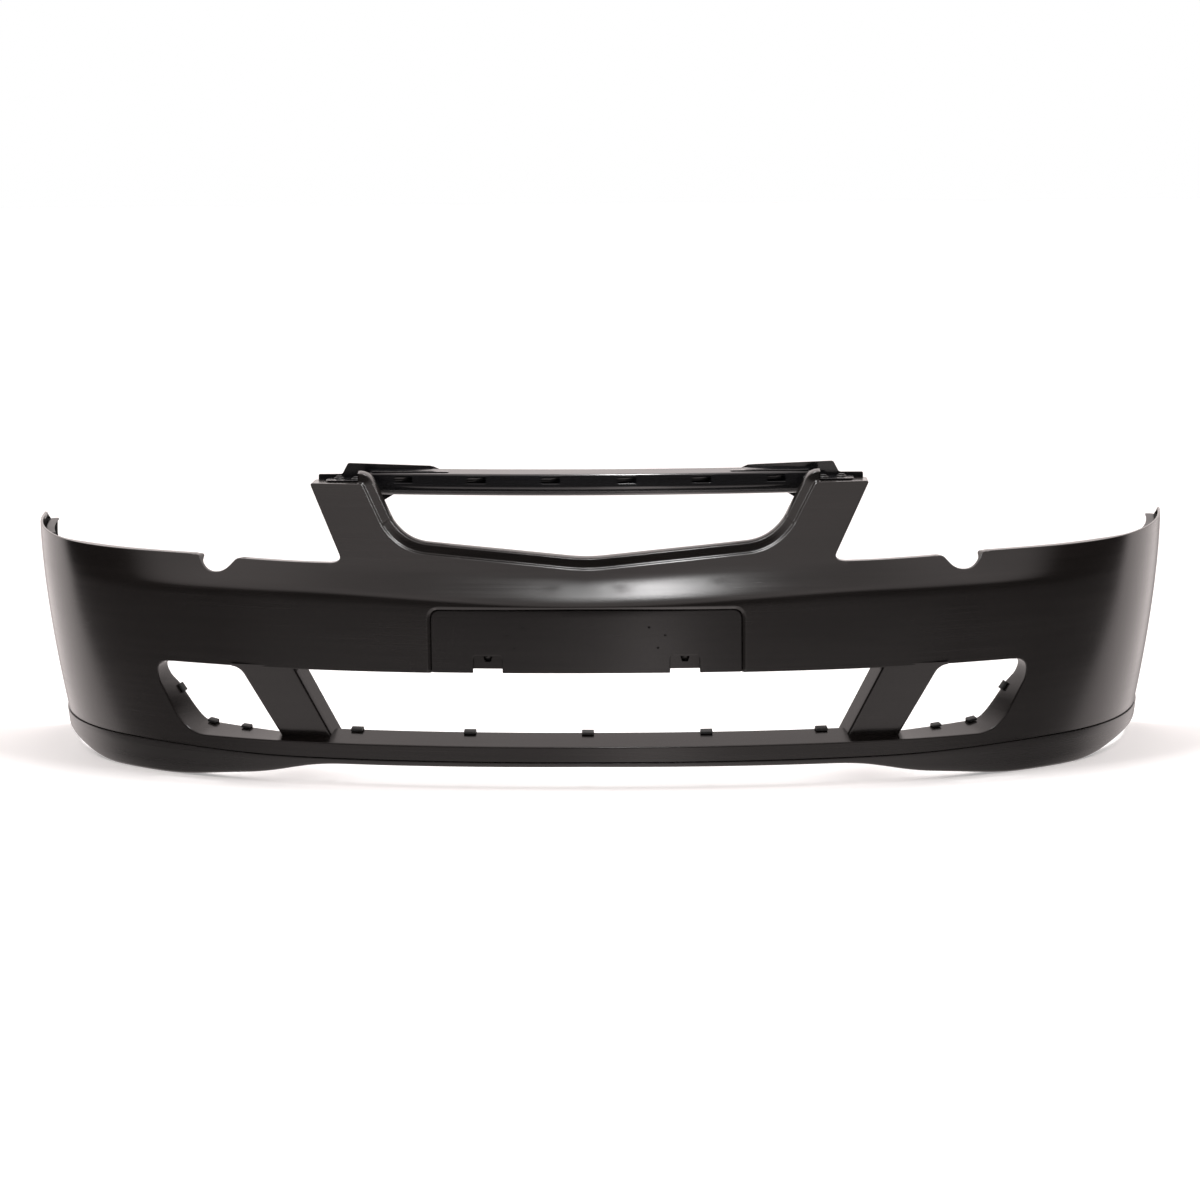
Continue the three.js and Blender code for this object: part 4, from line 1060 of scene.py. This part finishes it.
class Graph:
    """Short way to write a material's nodes."""

    def __init__(self, tree):
        self.tree = tree
        self.coords = self.node("ShaderNodeTexCoord").outputs["Object"]

    def node(self, kind, inputs=None, **settings):
        node = self.tree.nodes.new(kind)
        for key, value in settings.items():
            setattr(node, key, value)
        self.fill(node, inputs or {})
        return node

    def fill(self, node, inputs):
        """Links or sets a node's inputs."""
        for key, value in inputs.items():
            if isinstance(value, bpy.types.NodeSocket):
                self.tree.links.new(value, node.inputs[key])
            else:
                node.inputs[key].default_value = value

    def noise(self, scale, detail=3.0, stretch=(1, 1, 1), turn=(0, 0, 0), distortion=0.0):
        at = self.node("ShaderNodeMapping", {"Vector": self.coords, "Scale": stretch, "Rotation": turn})
        made = self.node("ShaderNodeTexNoise", {"Vector": at.outputs[0], "Scale": scale, "Detail": detail,
                                                "Distortion": distortion})
        return made.outputs["Fac"]

    def fit(self, value, a, b, low, high):
        made = self.node("ShaderNodeMapRange", {"Value": value, "From Min": a, "From Max": b, "To Min": low,
                                                "To Max": high})
        return made.outputs["Result"]

    def math(self, kind, a, b):
        return self.node("ShaderNodeMath", {0: a, 1: b}, operation=kind).outputs[0]

    def colour(self, share, a, b):
        ramp = self.node("ShaderNodeValToRGB", {"Fac": share})
        ramp.color_ramp.elements[0].color = (*a, 1)
        ramp.color_ramp.elements[1].color = (*b, 1)
        return ramp.outputs["Color"]

    def bump(self, height, strength, distance, normal=None):
        inputs = {"Height": height, "Strength": strength, "Distance": distance}
        if normal is not None:
            inputs["Normal"] = normal
        return self.node("ShaderNodeBump", inputs).outputs["Normal"]


def moulded(name, dark, light, rough, streak, gloss, level):
    """Moulded polypropylene: flow streaks along the part, fine grain, faint scuffs and handling marks."""
    material, tree, shader = new_material(name)
    g = Graph(tree)
    cloud = g.noise(5.0, 4.0, (0.6, 0.6, 1.6))
    flow = g.noise(9.0, 4.0, (0.5, 0.5, 26.0), distortion=0.4)
    fine_flow = g.noise(30.0, 3.0, (0.35, 0.35, 30.0))
    marks = g.fit(g.noise(26.0, 5.0, (1.2, 1.2, 34.0), (0.0, 0.7, 0.3), 0.8), 0.66, 0.74, 0.0, 1.0)
    cross = g.fit(g.noise(21.0, 5.0, (34.0, 34.0, 1.1), (0.0, 0.45, 0.0), 0.7), 0.67, 0.75, 0.0, 1.0)
    where = g.fit(g.noise(7.0, 2.0), 0.52, 0.66, 0.0, 1.0)
    scuffs = g.math("MULTIPLY", g.math("MAXIMUM", marks, cross), where)
    dust = g.fit(g.noise(420.0, 2.0), 0.7, 0.8, 0.0, 1.0)
    tone = g.math("ADD", g.math("MULTIPLY", cloud, 0.55), g.math("MULTIPLY", flow, 0.45))
    tone = g.math("ADD", g.fit(tone, 0.35, 0.65, 0.0, 0.75), g.math("MULTIPLY", scuffs, 0.25))
    tone = g.math("ADD", tone, g.math("MULTIPLY", dust, 0.12))
    colour = g.colour(tone, dark, light)
    base = g.fit(cloud, 0.3, 0.7, rough - 0.03, rough + 0.03)
    streaks = g.fit(flow, 0.3, 0.7, -0.05 * streak, 0.05 * streak)
    fine = g.fit(fine_flow, 0.3, 0.7, -0.035 * streak, 0.035 * streak)
    fine = g.math("ADD", fine, g.math("MULTIPLY", scuffs, 0.12))
    roughness = g.math("ADD", g.math("ADD", base, streaks), fine)
    grain = g.noise(1500.0, 2.0)
    ripple = g.noise(60.0, 2.0, (0.5, 0.5, 5.0))
    waves = g.bump(ripple, 0.04 * streak, 0.0006)
    g.fill(shader, {"Base Color": colour, "Roughness": roughness, "Specular IOR Level": level,
                    "Normal": g.bump(grain, 0.1, 0.00008, waves)})
    if gloss:
        g.fill(shader, {"Coat Weight": gloss, "Coat Roughness": 0.08})
    return material


def zinc(name):
    """Zinc-plated steel: slightly cloudy plating, with roughness that varies and a fine grain."""
    material, tree, shader = new_material(name)
    g = Graph(tree)
    cloud = g.fit(g.noise(160.0, 4.0), 0.3, 0.7, 0, 1)
    g.fill(shader, {"Base Color": g.colour(cloud, (0.42, 0.42, 0.41), (0.62, 0.63, 0.66)),
                    "Roughness": g.fit(g.noise(600.0, 3.0), 0.3, 0.7, 0.26, 0.44),
                    "Normal": g.bump(g.noise(900.0, 3.0), 0.15, 0.00005), "Metallic": 1.0})
    return material


MOULDED = (  # slot, darkest and lightest colour, roughness, strength of the streaks, coat, specular level
    ("moulded_cover", (0.0062, 0.0054, 0.0051), (0.0135, 0.0118, 0.0112), 0.21, 0.25, 0.0, 0.34),
    ("moulded_lip", (0.0062, 0.0056, 0.0054), (0.0125, 0.0112, 0.0108), 0.28, 0.25, 0.0, 0.45),
    ("moulded_panel", (0.0052, 0.0046, 0.0045), (0.0115, 0.0102, 0.0100), 0.22, 0.25, 0.0, 0.34),
    ("gloss_carrier", (0.0052, 0.0055, 0.0064), (0.0085, 0.009, 0.0105), 0.2, 0.5, 0.3, 0.5),
    ("dark_plastic", (0.007, 0.007, 0.0072), (0.014, 0.014, 0.0145), 0.5, 0.4, 0.0, 0.5),
)
MATERIALS = {slot: moulded(slot, *look) for slot, *look in MOULDED}
MATERIALS["zinc_steel"] = zinc("zinc_steel")


# ---- studio ----
def floor():
    mesh, half = bpy.data.meshes.new("floor"), 40
    corners = [(-half, -half, 0), (half, -half, 0), (half, half, 0), (-half, half, 0)]
    mesh.from_pydata(corners, [], [(0, 1, 2, 3)])
    material, _, shader = new_material("floor")
    look = {"Base Color": (0.88, 0.88, 0.88, 1), "Roughness": 0.75, "Emission Color": (1, 1, 1, 1),
            "Emission Strength": 0.3}
    for key, value in look.items():
        shader.inputs[key].default_value = value
    mesh.materials.append(material)
    obj = add_object("floor", mesh)
    obj.visible_glossy = False


def softbox(name, at, aim, width, height, watts):
    data = bpy.data.lights.new(name, "AREA")
    data.shape, data.size, data.size_y, data.energy = "RECTANGLE", width, height, watts
    obj = add_object(name, data)
    obj.location = at
    obj.rotation_euler = (Vector(aim) - Vector(at)).to_track_quat("-Z", "Y").to_euler()


def studio():
    """Light for the cover. The camera sees plain white. Reflections see bright zones behind, below and high
    above the cover, a narrow band in the middle, dark between them, and a long light overhead."""
    world = bpy.data.worlds.new("studio")
    bpy.context.scene.world = world
    world.use_nodes = True
    tree = world.node_tree
    g = Graph(tree)
    split = g.node("ShaderNodeSeparateXYZ", {"Vector": g.node("ShaderNodeTexCoord").outputs["Generated"]})
    x, y, z = (split.outputs[k] for k in "XYZ")
    low = g.math("MINIMUM", g.math("ADD", z, 0.22), 0.0)
    back = g.fit(g.math("SUBTRACT", y, g.math("MULTIPLY", low, 1.83)), 0.35, 0.47, 0.0, 1.5)
    beyond = g.fit(g.math("ABSOLUTE", x, 0.0), 0.25, 0.42, 0.12, 1.0)
    beyond = g.math("MAXIMUM", beyond, g.fit(z, -0.05, 0.05, 0.0, 1.0))
    back = g.math("MULTIPLY", back, beyond)
    side = g.fit(g.math("ABSOLUTE", x, 0.0), 0.6, 0.85, 1.0, 0.4)
    down = g.math("MULTIPLY", g.fit(z, -0.08, -0.5, 0.08, 1.4), side)
    middle = g.fit(g.math("ABSOLUTE", g.math("SUBTRACT", x, 0.055), 0.0), 0.02, 0.08, 2.0, 0.0)
    middle = g.math("MULTIPLY", middle, g.fit(z, -0.05, -0.15, 0.0, 1.0))
    up = g.math("MULTIPLY", g.fit(z, 0.5, 0.78, 0.0, 1.3), g.fit(z, 0.9, 1.0, 1.0, 0.4))
    front = g.math("ADD", g.math("ADD", down, middle), up)
    strength = g.math("MAXIMUM", front, back)
    watched = g.node("ShaderNodeLightPath").outputs["Is Camera Ray"]
    strength = g.math("ADD", g.math("MULTIPLY", strength, g.math("SUBTRACT", 1.0, watched)), watched)
    ground = tree.nodes["Background"]
    g.fill(ground, {"Strength": strength, "Color": g.colour(watched, (1.0, 0.91, 0.89), (1.0, 1.0, 1.0))})
    softbox("strip", (0.07, -0.15, 2.3), (0.07, -0.15, 0), 0.2, 0.9, 34)
    bpy.context.scene.view_settings.view_transform = "Standard"


def make_pieces():
    cover, gloss, dark, zinc_steel = "moulded_cover", "gloss_carrier", "dark_plastic", "zinc_steel"
    fascia().piece("fascia_skin", ["bumper_fascia"], cover)
    plate_strip().piece("fascia_plate_strip", ["bumper_fascia"], cover)
    lip().piece("lip", ["lower_lip"], "moulded_lip")
    panel().piece("plate_panel", ["number_plate_panel"], "moulded_panel")
    carrier_beam().piece("carrier_channel", ["grille_carrier"], gloss)
    rivet_z = FOOT_TOP + GAP
    for side, name in ((1, "right"), (-1, "left")):
        pillar(side).piece(f"fascia_{name}_pillar", ["bumper_fascia"], cover)
        carrier_end(side).piece(f"carrier_{name}_end", ["grille_carrier"], gloss)
        on_side(retainer(), side).piece(f"retainer_{name}", [f"{name}_side_retainer"], dark)
        for i, (x, y) in enumerate(RIVETS, 1):
            rivet_body(side * x, y, rivet_z).piece(f"rivet_{name}_{i}", [f"{name}_rivet_{i}"], dark)
            pin = rivet_pin(side * x, y, rivet_z)
            pin.piece(f"pin_{name}_{i}", [f"{name}_rivet_pin_{i}"], dark, f"{name}_rivet_pin_{i}_body")
        for i, z in enumerate(RETAINER_SCREWS, 1):
            made = on_side(screw(*arch_fixing(z)), side)
            made.piece(f"screw_{name}_{i}", [f"{name}_retainer_screw_{i}"], zinc_steel)
        for i, x in enumerate(LIP_SCREWS[1:], 1):
            made = screw(lip_screw_at(side * x), (0, 0, 1))
            made.piece(f"lipscrew_{name}_{i}", [f"{name}_lip_screw_{i}"], zinc_steel)
        for i, k in enumerate(FOG_CLIPS, 1):
            made = on_side(fog_clip(k), side)
            made.piece(f"fogclip_{name}_{i}", [f"{name}_fog_clip_{i}"], dark, bevel=0.4)
    screw(lip_screw_at(LIP_SCREWS[0]), (0, 0, 1)).piece("lipscrew_centre", ["lip_screw_centre"], zinc_steel)
    for i, x in enumerate(SHELF_CLIPS, 1):
        shelf_clip(x).piece(f"clip_{i}", [f"grille_clip_{i}"], dark, bevel=0.4)


make_pieces()
camera()
floor()
studio()
